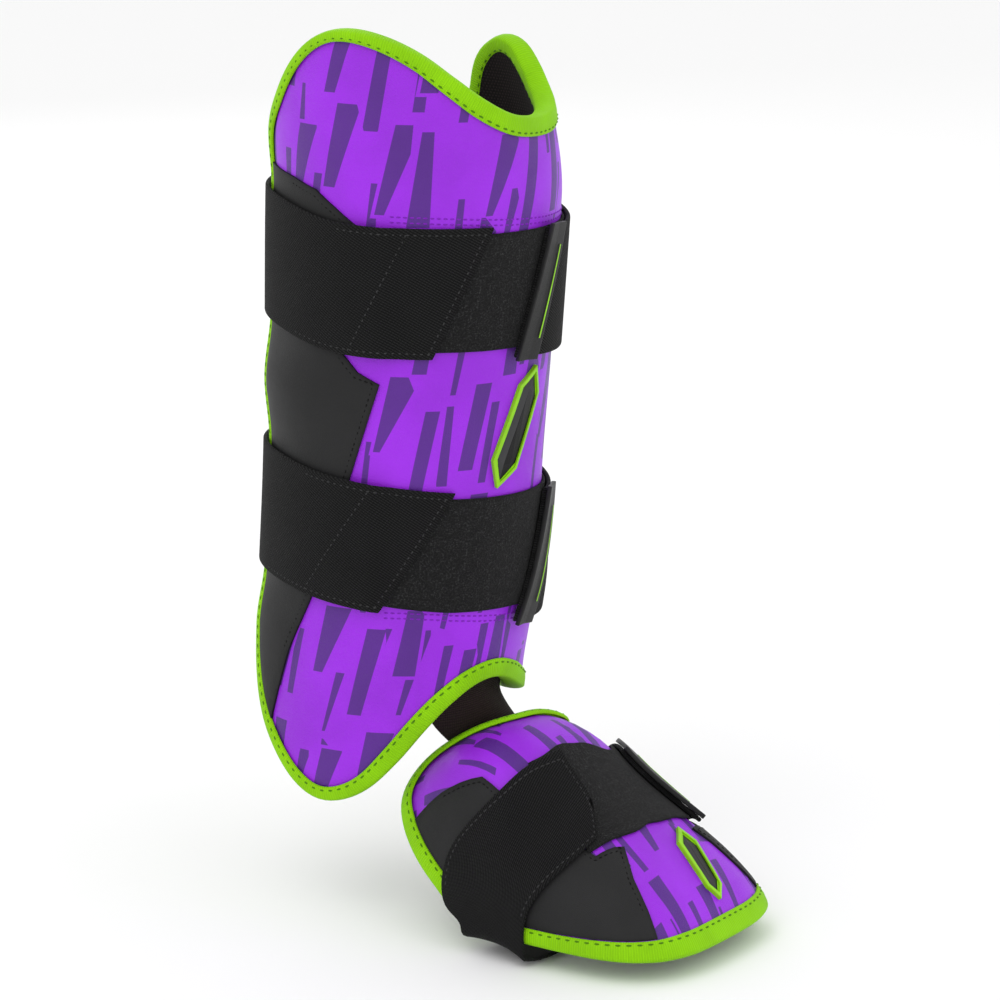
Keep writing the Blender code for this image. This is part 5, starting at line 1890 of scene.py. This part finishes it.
@dataclass
class AnkleElastic:
    """The knitted band that joins the shin shell to the foot guard."""

    top: float = -0.305
    rows: Rows = (
        (38.0, -0.412, -0.045, 0.475, -0.150, 0.380),
        (16.0, -0.376, -0.005, 0.375, -0.070, 0.255),
        (-12.0, -0.394, 0.065, 0.335, 0.055, 0.200),
        (-44.0, -0.424, 0.145, 0.375, 0.175, 0.240),
    )
    across: int = 40

    def build(self, wardrobe: Wardrobe) -> None:
        """Build the band."""
        table = [(index, *row) for index, row in enumerate(self.rows)]
        width = 0.080
        shares = edge_shares(width, SIZES.elastic / 2, self.across)
        spot = shares * (len(self.rows) - 1)
        angle, height, *places = (read_curve(table, column, spot) for column in range(1, 7))
        inside_shin = -(SIZES.pad + max(SIZES.lining, SIZES.binding) + SIZES.elastic_gap) - SIZES.elastic / 2
        inside_foot = -(SIZES.foot_pad + SIZES.binding + SIZES.gap + SIZES.elastic_gap) - SIZES.elastic / 2
        controls = []
        for down in (0.0, 1 / 3, 2 / 3, 1.0):
            controls.append(LEG.place(angle, mix((self.top, height), down) * LEG.height, inside_shin))
        controls.append(FOOT.place(places[0], places[1], inside_foot))
        controls.append(FOOT.place(places[2], places[3], inside_foot))
        middle = smooth_rows(np.array(controls), 6)
        along = running_length(middle)
        flat = np.stack([np.broadcast_to(shares * width, along.shape), along], axis=-1)
        band = slab("ankle_band", middle, shares, width, SIZES.elastic, flat, wardrobe["ankle_knit"])
        hand_over(band, "ankle_elastic")


@dataclass(frozen=True)
class Studio:
    """A pale floor, soft lights and the camera at the photo's angle."""

    azimuth: float = -55.0
    elevation: float = 14.0
    distance: float = 1.80
    target: tuple[float, float, float] = (0.0, -0.051, -0.045)
    lens: float = 145.55
    floor_tone: float = 0.93
    world: float = 1.0

    def axes(self) -> tuple[Vector, Vector, Vector]:
        """Return the camera's right, up and backward directions."""
        turn, rise = math.radians(self.azimuth), math.radians(self.elevation)
        back = Vector((math.sin(turn) * math.cos(rise), -math.cos(turn) * math.cos(rise), math.sin(rise)))
        right = Vector((math.cos(turn), math.sin(turn), 0.0))
        return right, back.cross(right), back

    def build(self) -> None:
        """Build the floor, the lights, the world and the camera."""
        right, up, back = self.axes()
        data = bpy.data.cameras.new("camera")
        data.lens, data.sensor_width, data.sensor_fit = self.lens, 36.0, "HORIZONTAL"
        data.clip_end = 50.0
        camera = bpy.data.objects.new("camera", data)
        place = Vector(self.target) + back * self.distance
        camera.matrix_world = Matrix.Translation(place) @ Matrix((right, up, back)).transposed().to_4x4()
        bpy.context.scene.collection.objects.link(camera)
        bpy.context.scene.camera = camera

        bpy.ops.object.select_all(action="DESELECT")
        bpy.ops.mesh.primitive_plane_add(size=24.0, location=(0.0, 0.0, CAD_BOX[0][2] - 0.0004))
        floor = bpy.context.object
        floor.name = "studio_floor"
        paint = bpy.data.materials.new("studio_floor")
        paint.use_nodes = True
        shader = paint.node_tree.nodes["Principled BSDF"]
        shader.inputs["Base Color"].default_value = (self.floor_tone, self.floor_tone, self.floor_tone, 1.0)
        shader.inputs["Roughness"].default_value = 0.9
        floor.data.materials.append(paint)

        world = bpy.data.worlds.new("studio")
        world.use_nodes = True
        world.node_tree.nodes["Background"].inputs["Color"].default_value = (1.0, 1.0, 1.0, 1.0)
        world.node_tree.nodes["Background"].inputs["Strength"].default_value = self.world
        bpy.context.scene.world = world
        bpy.context.scene.view_settings.view_transform = "Standard"
        self.softbox("key", right * -0.9 + up * 1.5 + back * 1.6, 1.4, 9.0)
        self.softbox("fill", right * 1.5 + up * 0.5 + back * 1.2, 1.6, 3.0)
        self.softbox("rear", right * -0.6 + up * 1.4 - back * 1.6, 1.4, 4.0)

    def softbox(self, name: str, place: Vector, size: float, power: float) -> None:
        """Add a large soft light that faces the guard.

        Args:
            name: Name of the light.
            place: Its place from the guard's middle.
            size: Side of its square face.
            power: Its power in watts.
        """
        data = bpy.data.lights.new(name, "AREA")
        data.shape, data.size, data.energy = "SQUARE", size, power
        light = bpy.data.objects.new(name, data)
        light.location = Vector(self.target) + place
        light.rotation_euler = (-place).to_track_quat("-Z", "Y").to_euler()
        bpy.context.scene.collection.objects.link(light)


def main() -> None:
    """Build and dress the leg guard, then light it."""
    logging.basicConfig(level=logging.INFO, format="%(message)s")
    Studio().build()
    wardrobe = Wardrobe()
    for part in (ShinGuard(), FootGuard(), AnkleElastic()):
        part.build(wardrobe)
        LOG.info("%s done", type(part).__name__)


if __name__ == "__main__":
    main()
